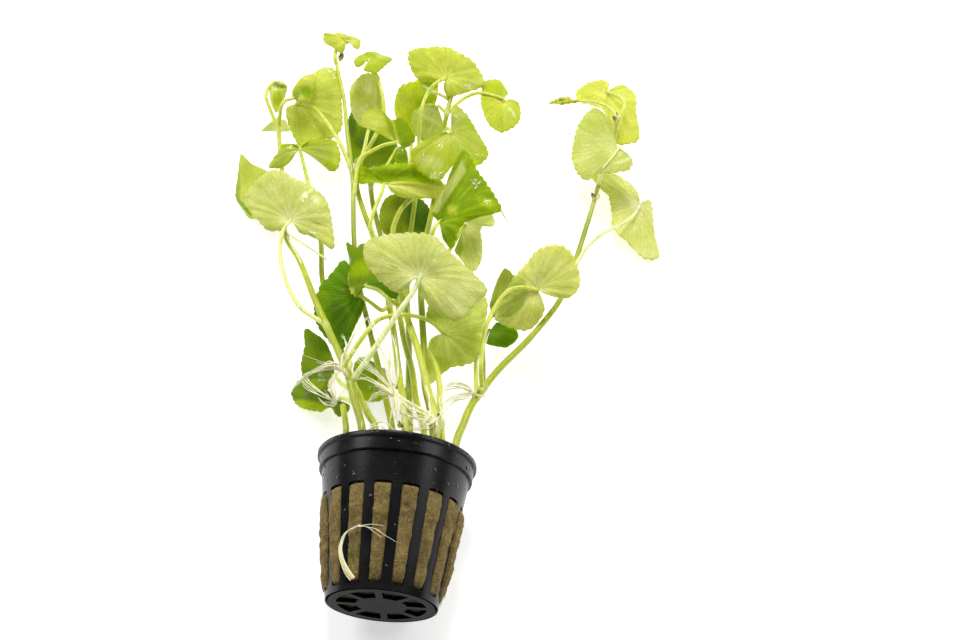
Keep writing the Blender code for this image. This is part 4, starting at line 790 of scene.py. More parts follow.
class Builder:
    """Gathers the points, faces, colours and materials of one piece."""

    def __init__(self):
        self.points, self.faces, self.kinds, self.tints, self.fields = [], [], [], [], []
        self.count = 0

    def add(self, points, faces, tints, kind=0, fields=None):
        """Adds a part. Fields are named lists of one number a point, and zero where they aren't given."""
        points = np.asarray(points, float)
        tints = np.clip(np.asarray(tints, float), 0, 1)
        self.faces += [[corner + self.count for corner in face] for face in faces]
        self.kinds += [kind] * len(faces)
        self.tints.append(np.broadcast_to(tints, (len(points), 3)))
        self.fields.append((self.count, len(points), fields or {}))
        self.points.append(points)
        self.count += len(points)

    def add_tube(self, route, radii, sides, colours, kind=0, shade=1.0):
        """Adds a tube whose colours are palette names spread evenly along it."""
        points, faces, along = tube(route, np.broadcast_to(radii, len(route)), sides)
        self.add(points, faces, blended(colours, along) * shade, kind)

    def finish(self, name, materials, node):
        """Makes the piece, which stands for one node, with its materials."""
        mesh = bpy.data.meshes.new(name)
        points = (np.concatenate(self.points) - SHIFT) * MM
        mesh.from_pydata(points.tolist(), [], self.faces)
        for material in materials:
            mesh.materials.append(material)
        mesh.polygons.foreach_set("material_index", self.kinds)
        mesh.polygons.foreach_set("use_smooth", [True] * len(self.faces))
        tint = mesh.color_attributes.new("tint", "FLOAT_COLOR", "POINT")
        colours = np.ones((self.count, 4), np.float32)
        colours[:, :3] = np.concatenate(self.tints)
        tint.data.foreach_set("color", colours.ravel())
        for field in sorted({key for _, _, fields in self.fields for key in fields}):
            values = np.zeros(self.count, np.float32)
            for start, length, fields in self.fields:
                values[start:start + length] = fields.get(field, 0)
            mesh.attributes.new(field, "FLOAT", "POINT").data.foreach_set("value", values)
        mesh.update()
        piece = in_scene(name, mesh)
        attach(piece, "root")
        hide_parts(node)
        return piece


# Materials


class Surface:
    """A procedural material. An input takes a number, a vector, a colour or another node's output."""

    def __init__(self, name):
        self.material = bpy.data.materials.new(name)
        self.material.use_nodes = True
        self.tree = self.material.node_tree
        self.here = self.node("ShaderNodeTexCoord").outputs["Object"]

    def put(self, socket, value):
        """Links an output to a socket, or sets the socket's own value."""
        if isinstance(value, bpy.types.NodeSocket):
            self.tree.links.new(value, socket)
        elif socket.type == "RGBA" and len(value) == 3:
            socket.default_value = (*value, 1)
        else:
            socket.default_value = value

    def node(self, kind, inputs=(), **settings):
        """A new node, with its inputs as pairs of a name or number and a value."""
        made = self.tree.nodes.new(kind)
        for key, value in settings.items():
            setattr(made, key, value)
        for key, value in dict(inputs).items():
            self.put(made.inputs[key], value)
        return made

    def shade(self, inputs):
        """Sets the surface shader's own inputs."""
        for key, value in inputs.items():
            self.put(self.tree.nodes["Principled BSDF"].inputs[key], value)

    def attribute(self, name, output="Fac"):
        """One of the mesh's own values."""
        return self.node("ShaderNodeAttribute", attribute_name=name).outputs[output]

    def noise(self, scale, detail=3.0, rough=0.5, where=None, output="Fac"):
        """Smooth noise over the object, or over other coordinates."""
        inputs = {"Vector": where or self.here, "Scale": scale, "Detail": detail, "Roughness": rough}
        return self.node("ShaderNodeTexNoise", inputs).outputs[output]

    def ramp(self, value, low, high, bottom=0.0, top=1.0):
        """Goes evenly from bottom to top as the value goes from low to high, and no further."""
        inputs = {"Value": value, "From Min": low, "From Max": high, "To Min": bottom, "To Max": top}
        return self.node("ShaderNodeMapRange", inputs, clamp=True).outputs["Result"]

    def mix(self, share, first, second, kind="MIX"):
        """Two colours mixed, with a share of the second."""
        inputs = {"Factor": share, "A": first, "B": second}
        made = self.node("ShaderNodeMix", inputs, data_type="RGBA", blend_type=kind)
        return next(output for output in made.outputs if output.type == "RGBA")

    def times(self, first, second):
        """Two colours multiplied."""
        return self.mix(1.0, first, second, "MULTIPLY")

    def maths(self, kind, *values):
        """One step of arithmetic on values and numbers."""
        return self.node("ShaderNodeMath", enumerate(values), operation=kind).outputs["Value"]

    def bump(self, height, strength, distance, normal="Normal"):
        """Raises the surface, or the clear coat over it."""
        inputs = {"Height": height, "Strength": strength, "Distance": distance}
        self.shade({normal: self.node("ShaderNodeBump", inputs).outputs["Normal"]})


def vein_lines(surface, turn, wide, times, thin, thick):
    """Lines out from the hub: turn counts them round the blade, and wide is how many fit a millimetre."""
    swing = surface.maths("MULTIPLY", turn, times)
    away = surface.maths("PINGPONG", surface.maths("ADD", swing, 0.5), 1.0)
    off = surface.maths("ABSOLUTE", surface.maths("SUBTRACT", away, 0.5))
    apart = surface.maths("DIVIDE", off, surface.maths("MULTIPLY", wide, times))
    return surface.ramp(apart, thin, thick, 1.0, 0.0)


def leaf_veins(surface, out):
    """Veins that fork twice on their way from the hub to the margin, where out is 1."""
    turn, wide = surface.attribute("turn"), surface.attribute("wide")
    stray = surface.maths("SUBTRACT", surface.noise(230, 3), 0.5)
    bent = surface.maths("MULTIPLY_ADD", stray, surface.maths("MULTIPLY", out, 0.9), turn)
    main = vein_lines(surface, bent, wide, 1, 0.08, 0.26)
    forks = vein_lines(surface, bent, wide, 2, 0.04, 0.20)
    twigs = vein_lines(surface, bent, wide, 4, 0.02, 0.16)
    forks = surface.maths("MULTIPLY", forks, surface.ramp(out, 0.38, 0.5))
    twigs = surface.maths("MULTIPLY", twigs, surface.ramp(out, 0.66, 0.76, 0.0, 0.7))
    rays = surface.maths("MAXIMUM", main, surface.maths("MAXIMUM", forks, twigs))
    return surface.maths("MULTIPLY", rays, surface.ramp(out, 0.09, 0.2))


def leaf_net(surface):
    """The net of fine veins between the main ones."""
    swirl = surface.noise(420, 2.0, output="Color")
    warp = {0: swirl, 1: (0.0016, 0.0016, 0.0016), 2: surface.here}
    warped = surface.node("ShaderNodeVectorMath", warp, operation="MULTIPLY_ADD").outputs["Vector"]
    cells = surface.node("ShaderNodeTexVoronoi", {"Vector": warped, "Scale": 480}, feature="DISTANCE_TO_EDGE")
    return surface.ramp(cells.outputs["Distance"], 0.0, 0.11, 1.0, 0.0)


def leaf_material(name):
    """A wet, slightly see-through leaf: mottled green, forking veins, a net of fine ones and wet spots."""
    surface = Surface(name)
    tint, out = surface.attribute("tint", "Color"), surface.attribute("out")
    cloud = surface.noise(170, 4)
    grain = surface.noise(1500, 2)
    rays = leaf_veins(surface, out)
    net = leaf_net(surface)

    ground = surface.mix(surface.ramp(cloud, 0.35, 0.68), surface.times(tint, (0.86, 0.90, 0.70)),
                         surface.times(tint, (1.07, 1.05, 1.15)))
    deep = surface.times(tint, (0.62, 0.74, 0.40))
    glow = surface.times(tint, (1.30, 1.22, 1.9))
    netted = surface.mix(surface.maths("MULTIPLY", net, 0.38), ground, deep)
    outer = surface.maths("MULTIPLY", rays, surface.ramp(out, 0.3, 0.6, 0.0, 0.5))
    inner = surface.maths("MULTIPLY", rays, surface.ramp(out, 0.08, 0.5, 0.75, 0.0))
    veined = surface.mix(inner, surface.mix(outer, netted, deep), glow)
    wet = surface.maths("ADD", surface.noise(130, 5, 0.55), surface.attribute("wet"))
    surface.shade({
        "Base Color": veined, "Roughness": surface.ramp(cloud, 0.3, 0.7, 0.4, 0.6),
        "Specular IOR Level": 0.08, "Subsurface Weight": 0.4, "Subsurface Radius": (0.9, 1.0, 0.12),
        "Subsurface Scale": 0.0012, "Coat Weight": surface.ramp(wet, 0.60, 0.62),
        "Coat Roughness": 0.04, "Coat IOR": 1.5})
    ridges = surface.maths("MULTIPLY", rays, 0.9)
    lumps = surface.maths("MULTIPLY_ADD", net, 0.3, surface.maths("MULTIPLY", grain, 0.2))
    surface.bump(surface.maths("ADD", ridges, lumps), 0.4, 0.00025)
    surface.bump(surface.noise(520, 3), 0.9, 0.0006, "Coat Normal")
    return surface.material


def stem_material(name, rough, coat, softness=0.6, glow=0.0):
    """A wet stem, root or bud: its own colours with soft streaks and mottling, some light let through, and a
    painted glow when glow is given.
    """
    surface = Surface(name)
    stretch = surface.node("ShaderNodeMapping", {"Vector": surface.here, "Scale": (1.0, 0.16, 1.0)})
    tint = surface.attribute("tint", "Color")
    streak = surface.noise(1400, 3, where=stretch.outputs["Vector"])
    cloud = surface.noise(160, 3)
    darker = surface.times(tint, (0.84, 0.88, 0.70))
    lighter = surface.times(tint, (1.10, 1.08, 1.25))
    streaked = surface.mix(surface.ramp(streak, 0.36, 0.66), darker, lighter)
    clouded = surface.mix(surface.ramp(cloud, 0.4, 0.7, 0.0, 0.2), streaked, darker)
    surface.shade({
        "Base Color": clouded, "Roughness": surface.ramp(cloud, 0.3, 0.7, rough, rough + 0.14),
        "Specular IOR Level": 0.3, "Coat Weight": coat, "Coat Roughness": 0.1,
        "Subsurface Weight": softness, "Subsurface Radius": (1.0, 1.0, 0.25), "Subsurface Scale": 0.002})
    # Painted light: a faint emission of the surface's own colour, so that stalks and roots stay bright where
    # the lamps leave them in shade.
    if glow:
        surface.shade({"Emission Color": clouded, "Emission Strength": glow})
    surface.bump(streak, 0.2, 0.0002)
    return surface.material


def plastic_material(name, shine):
    """Black moulded plastic: a satin face with faint scuffs, dried water marks and moulding grain."""
    surface = Surface(name)
    cloud = surface.noise(70, 5, 0.6)
    grain = surface.noise(2600, 2)
    marks = surface.ramp(surface.noise(1300, 3, 0.6), 0.66, 0.72, 0.0, 0.7)
    ground = surface.mix(surface.ramp(cloud, 0.35, 0.7), (0.004, 0.004, 0.0045), (0.010, 0.010, 0.011))
    gloss = surface.ramp(cloud, 0.3, 0.72, 0.2, 0.34)
    surface.shade({
        "Base Color": surface.mix(marks, ground, (0.045, 0.043, 0.04)),
        "Roughness": surface.maths("MULTIPLY_ADD", marks, 0.3, gloss), "Specular IOR Level": shine})
    surface.bump(surface.maths("MULTIPLY_ADD", grain, 0.25, cloud), 0.1, 0.0004)
    return surface.material


def drop_material():
    """A drop of clear water on black plastic: as dark as what lies under it, and much glossier."""
    surface = Surface("water_on_plastic")
    cloud = surface.noise(900, 2)
    surface.shade({
        "Base Color": surface.mix(cloud, (0.006, 0.006, 0.007), (0.02, 0.02, 0.022)),
        "Roughness": surface.ramp(cloud, 0.3, 0.7, 0.02, 0.06), "IOR": 1.33,
        "Coat Weight": 1.0, "Coat Roughness": 0.02})
    return surface.material


def rockwool_material():
    """Wet mineral fibre: olive brown, with painted shade in its hollows and yellower fibres lying in every
    direction.
    """
    surface = Surface("rockwool_fibre")
    tint = surface.attribute("tint", "Color")
    cloud = surface.noise(190, 5, 0.65)
    fine = surface.noise(1900, 4, 0.75)
    strands = []
    for turn in (0.4, 1.5, 2.5):
        inputs = {"Vector": surface.here, "Rotation": (0.3 - turn * 0.2, 0.2, turn), "Scale": (1.0, 6.0, 1.0)}
        stretch = surface.node("ShaderNodeMapping", inputs, vector_type="TEXTURE")
        strands.append(surface.noise(1500, 3, 0.6, stretch.outputs["Vector"]))
    fibre = surface.maths("MAXIMUM", strands[0], surface.maths("MAXIMUM", strands[1], strands[2]))
    dark = surface.times(tint, (0.55, 0.53, 0.45))
    light = surface.times(tint, (1.6, 1.58, 1.4))
    ground = surface.mix(surface.ramp(cloud, 0.34, 0.62), dark, tint)
    # Painted shade: the colour darkens where the fine noise is low, the same places that the bump sinks into
    # hollows.
    shaded_hollows = surface.mix(surface.ramp(fine, 0.40, 0.52, 0.75, 0.0), ground, dark)
    surface.shade({
        "Base Color": surface.mix(surface.ramp(fibre, 0.58, 0.7, 0.0, 0.8), shaded_hollows, light),
        "Roughness": 0.8, "Specular IOR Level": 0.25})
    surface.bump(surface.maths("MULTIPLY_ADD", fine, 0.25, fibre), 1.0, 0.0008)
    return surface.material


def floor_material():
    """A white floor that hardly darkens under the plant."""
    surface = Surface("white_floor")
    surface.shade({
        "Base Color": surface.mix(surface.noise(6, 4), (0.86, 0.86, 0.86), (0.9, 0.9, 0.9)), "Roughness": 0.7,
        "Specular IOR Level": 0.2, "Emission Color": (1, 1, 1, 1), "Emission Strength": FLOOR_GLOW})
    return surface.material


# Leaves


def lean_normal(lean):
    """The upward normal of a blade that leans."""
    tilt, towards = math.radians(lean[0]), math.radians(lean[1])
    return np.array((math.sin(tilt) * math.sin(towards), math.sin(tilt) * math.cos(towards), math.cos(tilt)))


def patch_share(spots, corners):
    """One inside a patch with convex corners and nought outside it, with a soft step."""
    corners = np.array(corners, float)
    middle = corners.mean(axis=0)
    inside = np.full(len(spots), np.inf)
    for start, end in zip(corners, np.roll(corners, -1, axis=0)):
        across = unit(np.array([start[1] - end[1], end[0] - start[0]]))
        across *= np.sign((middle - start) @ across)
        inside = np.minimum(inside, (spots - start) @ across)
    return smooth_step(-0.8, 0.8, inside)


def ellipse_share(spots, u, v, long, wide, degrees):
    """One inside an ellipse and nought outside it, with a soft step."""
    turn = math.radians(degrees)
    du, dv = spots[:, 0] - u, spots[:, 1] - v
    along = (du * math.cos(turn) + dv * math.sin(turn)) / long
    across = (-du * math.sin(turn) + dv * math.cos(turn)) / wide
    return smooth_step(1.35, 0.55, np.hypot(along, across))


def paint(spots, base, marks):
    """Ground colours for places in the photograph: a base colour with marks on it."""
    colours = np.tile(linear(base), (len(spots), 1))
    for *shape, name, strength in marks:
        share = patch_share(spots, *shape) if len(shape) == 1 else ellipse_share(spots, *shape)
        colours = mixed(colours, linear(name), strength * share)
    return colours


def margin_points(leaf):
    """The points of a leaf's margin, in order round its hub."""
    hub, normal = place(leaf.hub), lean_normal(leaf.lean)
    return [on_plane(u, v, lift[0] if lift else 0, hub, normal) for u, v, *lift in leaf.margin]


def fitting(reach, length):
    """How many scallops or veins of about a length fit a margin."""
    return max(FEWEST, round(reach / length))


def blade_lift(leaf, look, seed, flat, share, out, reach, scallops):
    """How far each point of the blade stands off its plane: it swells, ripples, and bends at its creases."""
    hub, normal = place(leaf.hub), lean_normal(leaf.lean)
    size = min(1.0, reach / FULL_RIPPLE_MARGIN)
    round_turn = 2 * math.pi * share
    waves = (0.7 * np.sin(2 * math.pi * (share * 3.5 + seed * 0.37))
             + 0.4 * np.sin(2 * math.pi * (share * scallops / 2 + seed * 0.11)))
    ripple = look.ripple * size * out ** 2.5 * waves
    swell = 4 * leaf.cup * (out - out ** 2) * smooth_step(0.0, 0.4, out)
    quilt = QUILT_DEPTH * size * np.cos(round_turn * fitting(reach, VEIN_SPACING)) * np.sin(math.pi * out)
    lift = swell + ripple - quilt
    for u1, v1, u2, v2, rise in look.creases:
        start, end = on_plane(u1, v1, 0, hub, normal), on_plane(u2, v2, 0, hub, normal)
        away = np.abs((flat - start) @ unit(np.cross(normal, end - start)))
        lift = lift + np.sign(rise) * (np.sqrt((rise * away) ** 2 + 0.04) - 0.2)
    return lift


def blade_faces():
    """The faces of a blade: two sheets of rings round a hub, and the edges that join them."""
    columns = BLADE_COLUMNS
    far = BLADE_RINGS * columns + 1
    sheet = [(0, 1 + c, 2 + c) for c in range(columns - 1)]
    sheet += [tuple(1 + k for k in reversed(face)) for face in grid_faces(BLADE_RINGS, columns)]
    faces = sheet + [tuple(far + k for k in reversed(face)) for face in sheet]
    rim = (BLADE_RINGS - 1) * columns + 1
    faces += [(rim + c + 1, rim + c, far + rim + c, far + rim + c + 1) for c in range(columns - 1)]
    for column, turned_round in ((0, True), (columns - 1, False)):
        line = [0] + [1 + ring * columns + column for ring in range(BLADE_RINGS)]
        for a, b in zip(line, line[1:]):
            face = (a, b, far + b, far + a)
            faces.append(face[::-1] if turned_round else face)
    return faces


def blade_tints(points, look, far, from_hub, seed):
    """The blade's colours: marks on the side that is seen, the far side's own, and a pale star at the hub."""
    colours = paint(pixels(points), look.seen, look.marks)
    colours[far:] = linear(look.far)
    paler = np.clip(colours * (1.25, 1.2, 2.2) + 0.04, 0, 1)
    star = np.exp(-(from_hub / PALE_STAR_RADIUS) ** 2) * PALE_STAR_STRENGTH
    return mixed(colours, paler, star) * mottled(points, 7.0, 0.09, seed)


def wet_patches(points, look):
    """How wet each point is, beyond the scattered wetness that every leaf has."""
    spots = pixels(points)
    wet = np.zeros(len(points))
    for u, v, across, down in look.wet:
        away = ((spots[:, 0] - u) / across) ** 2 + ((spots[:, 1] - v) / down) ** 2
        wet = np.maximum(wet, WET_PATCH * np.exp(-away))
    return wet - DRYNESS


def add_blade(builder, leaf, look, seed):
    """The blade: a closed thin shell with a scalloped margin that swells, ripples and bends."""
    hub, normal = place(leaf.hub), lean_normal(leaf.lean)
    edge = evenly(smooth_route(margin_points(leaf), 16), BLADE_COLUMNS)
    reach = lengths_along(edge)[-1]
    spoke = np.linalg.norm(edge - hub, axis=1)
    share = np.linspace(0, 1, BLADE_COLUMNS)
    scallops = fitting(reach, SCALLOP_LENGTH)
    wobble = np.array([noise.noise(Vector((s * 9, seed, 0.5))) for s in share])
    notch = 1 - np.abs(np.sin(math.pi * scallops * (share + 0.3 / scallops * wobble))) ** 0.6
    depth = SCALLOP_DEPTH * min(1.0, reach / FULL_SCALLOP_MARGIN) * notch * (1 + 0.8 * wobble) + 0.1
    pull = depth / np.maximum(spoke, 2.0)
    out = np.linspace(0, 1, BLADE_RINGS + 1)[1:] ** 0.85
    rings = out[:, None] * (1 - pull[None, :] * out[:, None] ** 8)
    flat = hub + (edge - hub)[None, :, :] * rings[:, :, None]
    lift = blade_lift(leaf, look, seed, flat, share[None, :], out[:, None], reach, scallops)
    thick = BLADE_THICKNESS * (1 - RIM_THINNING * out ** 4)[:, None]
    sides = []
    for way in (1, -1):
        sheet = flat + normal * (lift + way * thick / 2)[:, :, None]
        sides += [(hub + way * normal * BLADE_THICKNESS / 2)[None, :], sheet.reshape(-1, 3)]
    points = np.concatenate(sides)
    faces = blade_faces()
    if np.cross(edge[:-1] - hub, edge[1:] - hub).sum(axis=0) @ normal < 0:
        faces = [face[::-1] for face in faces]

    veins = fitting(reach, VEIN_SPACING)
    from_hub = np.concatenate([[1], (out[:, None] * spoke[None, :]).ravel()] * 2)
    along_margin = np.concatenate([[1], np.repeat(np.maximum(out, 0.05), BLADE_COLUMNS)] * 2) * reach
    fields = {
        "turn": np.concatenate([[0], np.tile(share * veins, BLADE_RINGS)] * 2),
        "out": np.concatenate([[0], np.repeat(out, BLADE_COLUMNS)] * 2),
        "wide": veins / along_margin,
        "wet": wet_patches(points, look)}
    builder.add(points, faces, blade_tints(points, look, len(points) // 2, from_hub, seed), 0, fields)


def stem_route(stem):
    """A stem's route from just above the rockwool through its places."""
    return smooth_route([in_pot((stem.mouth[0], -stem.mouth[1], STEM_START))] + places(stem.spots))


def radius_at(stem, share):
    """A stem's radius at a share of its length."""
    return stem.radii[0] + (stem.radii[1] - stem.radii[0]) * share


def stalk_root(leaf, stem):
    """Where a leaf's stalk starts: inside its stem, from which it leaves straight towards its own course."""
    route = stem_route(stem)
    last = len(route) - 1
    index = min(round(leaf.grows_from[1] * ROUTE_STEPS), last)
    here = route[index]
    along = unit(here - route[index - 1])
    if index == last:
        return [here - along * 0.8, here + along * 0.9]
    radius = radius_at(stem, index / last)
    towards = unit(place(leaf.stalk[-1]) - here)
    return [here - along * 2.6, here - along * 0.5 + towards * radius * 0.4, here + towards * (radius + 1.2)]


def add_stalk(builder, leaf, look, stem, seed):
    """The stalk, from inside its stem to the hub, where it melts into the blade."""
    hub, normal = place(leaf.hub), lean_normal(leaf.lean)
    ahead = unit(margin_points(leaf)[len(leaf.margin) // 2] - hub)
    ends = [hub + ahead * along + normal * above for along, above in STALK_ENDS]
    route = smooth_route(stalk_root(leaf, stem) + places(reversed(leaf.stalk)) + ends, 7)
    lengths = lengths_along(route)
    whole = lengths[-1]
    radii = leaf.stalk_radius * np.interp(lengths / whole, [0, 0.08, 0.2, 0.8, 1], [0.6, 1.1, 1.0, 0.85, 0.8])
    radii = radii * np.interp(whole - lengths, [0, 1.2, 2.6, 4.0], [0.12, 0.45, 0.85, 1.0])
    points, faces, along = tube(route, radii)
    stem_colour = blended(STEM_LOOKS[stem.name], [leaf.grows_from[1] / len(stem.spots)])
    colours = mixed(linear(look.stalk), stem_colour, smooth_step(5.5, 2.0, along * whole))
    builder.add(points, faces, colours * mottled(points, 5.0, 0.1, seed), 1)


def make_leaf(leaf, stem, kinds, seed):
    """A leaf: its blade, its stalk, and a drawn-out point where it has one."""
    look = LOOKS[leaf.name]
    builder = Builder()
    add_blade(builder, leaf, look, seed)
    add_stalk(builder, leaf, look, stem, seed)
    if leaf.name in SPIKES:
        line = smooth_route(places(SPIKES[leaf.name]), 6)
        builder.add_tube(line, np.linspace(0.4, 0.1, len(line)), 6, [look.seen, "bright", "brown"], 1)
    return builder.finish(leaf.name + "_grown", kinds, leaf.name)


# Stems


def add_scale(builder, u, v, height, length, width, heading, name):
    """A small egg-shaped scale, with its middle at a place and its tip towards a heading."""
    middle = place((u, v, height))
    turn = math.radians(heading)
    ahead = np.array((math.cos(turn), math.sin(turn), 0.15)) * length / 2
    line = smooth_route([middle - ahead, middle, middle + ahead], 6)
    radii = width / 2 * np.sin(np.linspace(0.12, 0.92, len(line)) * math.pi)
    colours = ["root_tan", name, name] if name == "brown" else [name, name, "stem_pale"]
    builder.add_tube(line, radii, 10, colours)


def make_stem(stem, kinds, seed):
    """A stem that starts inside the rockwool and swells at each node where a leaf grows."""
    route = stem_route(stem)
    route = np.concatenate([[route[0] - POT_AXES[2] * STEM_BURIED], route])
    lengths = lengths_along(route)
    whole, last = lengths[-1], len(route) - 1
    radii = radius_at(stem, lengths / whole)
    grown = [leaf.grows_from[1] for leaf in LEAVES if leaf.grows_from[0] == stem.name]
    for spot in grown:
        index = min(round(spot * ROUTE_STEPS) + 1, last)
        radii = radii * (1 + JOINT_SWELLING * np.exp(-((lengths - lengths[index]) / JOINT_LENGTH) ** 2))
    radii = radii * np.array([1 + 0.03 * noise.noise(Vector((length / 12, seed, 0.3))) for length in lengths])
    points, faces, along = tube(route, radii, STEM_SIDES)
    colours = blended(STEM_LOOKS[stem.name], along) * mottled(points, 12.0, 0.08, seed)
    joints = [(spot, "pale_stalk", 0.4) for spot in grown]
    joints += [(number + 1, "brown", 0.8) for number in BROWN_NODES.get(stem.name, ())]
    for spot, name, strength in joints:
        at = lengths[min(round(spot * ROUTE_STEPS + 1), last)]
        share = np.exp(-((along * whole - at) / JOINT_COLOUR_LENGTH) ** 2)
        colours = mixed(colours, linear(name), strength * share)
    builder = Builder()
    builder.add(points, faces, colours)
    for scale in SHEATHS.get(stem.name, ()):
        add_scale(builder, *scale)
    for radius, spots in SPARE_STALKS.get(stem.name, ()):
        builder.add_tube(smooth_route(places(spots)), radius, 10, ["stalk", "pale_stalk", "cream_green"])
    return builder.finish(stem.name + "_grown", kinds, stem.name)


# Roots and buds


def wandering(route, stray, draw):
    """A route nudged sideways a little at each of its points, and more towards its end."""
    moved = np.array(route, float)
    for index in range(1, len(moved)):
        moved[index] += jitter(draw, stray * (0.5 + index / len(moved)))
    return moved


def add_strand(builder, route, radius, colours, draw, sides=5):
    """A strand of root that thins towards its end."""
    line = smooth_route(route)
    radii = radius * np.linspace(1.0, 0.4, len(line))
    builder.add_tube(line, radii, sides, colours, shade=draw.uniform(0.9, 1.04))


def make_roots(root, kinds):
    """A bundle of roots: strands with finer ones wandering beside them, and hairs from their knot."""
    draw = random.Random(root.name)
    builder = Builder()
    knot = place(root.start)
    thick, fine = ["root_tan", "cream", "cream"], ["cream", "cream"]
    routes = [[knot] + places(strand) for strand in root.strands]
    for route in routes:
        add_strand(builder, wandering(route, 0.1, draw), root.radius * 0.62, thick, draw, 6)
        for _ in range(2):
            twin = wandering(route, 0.9, draw)
            twin[0] = knot + jitter(draw, 0.5)
            twin[-1] = twin[-2] + (twin[-1] - twin[-2]) * draw.uniform(0.5, 1.1)
            add_strand(builder, twin, draw.uniform(*TWIN_RADII), thick, draw)
    for _ in range(3 * len(routes)):
        guide = draw.choice(routes)
        length = np.linalg.norm(guide[-1] - knot) * draw.uniform(0.25, 0.7)
        heading = unit(guide[1] - knot) + np.array([draw.uniform(-0.7, 0.7), draw.uniform(-0.7, 0.7), 0])
        bend = np.array([draw.uniform(-0.5, 0.5), draw.uniform(-0.5, 0.5), draw.uniform(-0.2, 0.0)])
        hair = [knot + (unit(heading) * share + bend * share ** 2 * 0.6) * length for share in HAIR_SHARES]
        add_strand(builder, hair, draw.uniform(*HAIR_RADII), fine, draw)
    for start, courses in root.fine:
        for course in courses:
            for _ in range(3):
                stray = wandering(places([start] + course), 0.5, draw)
                add_strand(builder, stray, draw.uniform(*FINE_RADII), fine, draw)
    return builder.finish(root.name + "_grown", kinds, root.name)


def make_root_loop(kinds):
    """The loop of root out through one slot: a flat bundle of strands that fan out."""
    draw = random.Random(LOOP_SEED)
    builder = Builder()
    for spread in np.linspace(-1, 1, 7):
        route = []
        for degrees, height, clearance in LOOP_ROUTE:
            turned = degrees + spread * 1.6 + draw.uniform(-0.5, 0.5)
            raised = height + spread * draw.uniform(0.0, 0.6)
            route.append(in_pot(beside_wall(turned, raised, clearance - draw.uniform(0.0, 0.3))))
        add_strand(builder, route[::-1], draw.uniform(*LOOP_RADII), ["root_tan", "cream", "cream"], draw, 8)
    for spots in LOOP_HAIRS:
        route = [in_pot(beside_wall(*spot)) for spot in spots]
        add_strand(builder, route, LOOP_HAIR_RADIUS, ["cream", "cream"], draw)
    return builder.finish("root_loop_grown", kinds, "root_loop")


def make_tip_bud(kinds):
    """The bud under the top leaf."""
    builder = Builder()
    line = smooth_route(places(TIP_BUD), 9)
    radii = np.interp(np.linspace(0, 1, len(line)), [0, 0.3, 0.6, 1], [0.35, 1.0, 1.15, 0.4])
    builder.add_tube(line, radii, 12, ["fresh", "green", "brown", "bright", "fresh"])
    return builder.finish("bud_tip_grown", kinds, "bud_tip")


def make_runner_buds(kinds):
    """The line of young buds: egg-shaped scales in pairs along a thin stalk."""
    draw = random.Random(BUD_SEED)
    builder = Builder()
    line = smooth_route(places(RUNNER_BUDS), 9)
    radii = np.interp(np.linspace(0, 1, len(line)), [0, 0.3, 1], [0.3, 0.5, 0.6])
    builder.add_tube(line, radii, 10, ["bud_yellow", "stalk", "pale_stalk"])
    for scale in BUD_SCALES:
        add_scale(builder, *scale, draw.choice(["bud_yellow", "bud_yellow", "lime", "soft"]))
    return builder.finish("buds_runner_grown", kinds, "buds_runner")


# The pot


def slot_turn(slot):
    """The direction of a slot's middle, round the pot's axis from its left side over its upper side."""
    return RIB_TURN - math.pi / 2 + (slot - SLOTS / 4 + 0.5) * SLOT_STEP


def slot_half_angle(height):
    """Half the angle that a slot takes up at a height."""
    radius = body_radius(height)
    return (SLOT_STEP * radius - RIB_WIDTH) / 2 / radius


def nearest_slot(angle):
    """The slot nearest to an angle, and how far from the slot's middle the angle is."""
    slot = int(round((angle - slot_turn(0)) / SLOT_STEP)) % SLOTS
    return slot, (angle - slot_turn(slot) + math.pi) % (2 * math.pi) - math.pi


def wall_columns():
    """The wall's columns as (slot, place across the slot from -1 to 1, share of the way over the rib)."""
    columns = []
    for slot in range(SLOTS):
        columns += [(slot, -1 + 2 * step / SLOT_COLUMNS, 0.0) for step in range(SLOT_COLUMNS + 1)]
        columns += [(slot, 1.0, step / RIB_COLUMNS) for step in range(1, RIB_COLUMNS)]
    return columns


def column_angle(column, height):
    """The direction of one of the wall's columns at a height."""
    slot, across, past = column
    half = slot_half_angle(height)
    return slot_turn(slot) + across * half + past * (SLOT_STEP - 2 * half)


def rounded_edge(middle, size, low, high, steps):
    """Part of an ellipse in the pot's outline, from one angle in degrees to another, as (radius, height)."""
    turns = np.radians(np.linspace(low, high, steps))
    return [(middle[0] + size[0] * math.cos(turn), middle[1] + size[1] * math.sin(turn)) for turn in turns]


def collar_outline():
    """The collar and the lip, from the shoulder's outside over the rim to its inside, as (radius, height)."""
    lip = LIP_BOTTOM
    outline = [(COLLAR_RADIUS - 0.35, SHOULDER), (COLLAR_RADIUS - 0.22, SHOULDER + 0.12),
               (COLLAR_RADIUS - 0.17, SHOULDER + 0.4), (COLLAR_RADIUS - 0.03, lip - 0.5),
               (COLLAR_RADIUS + 0.02, lip - 0.15), (COLLAR_RADIUS + 0.2, lip)]
    outline += rounded_edge((RIM_RADIUS - 0.4, lip + 0.3), (0.4, 0.3), -90, 0, 5)
    outline += rounded_edge((RIM_RADIUS - 0.5, POT_HEIGHT - 0.5), (0.5, 0.5), 0, 90, 6)
    outline += rounded_edge((RIM_RADIUS - WALL - 0.8, POT_HEIGHT - 0.4), (0.4, 0.4), 90, 180, 5)
    return outline + [(BODY_TOP_RADIUS - WALL + 0.4, SHOULDER)]


def runs(count, wide, apart):
    """Equal runs of columns with others between them, as (first, last)."""
    return [(number * (wide + apart), number * (wide + apart) + wide) for number in range(count)]


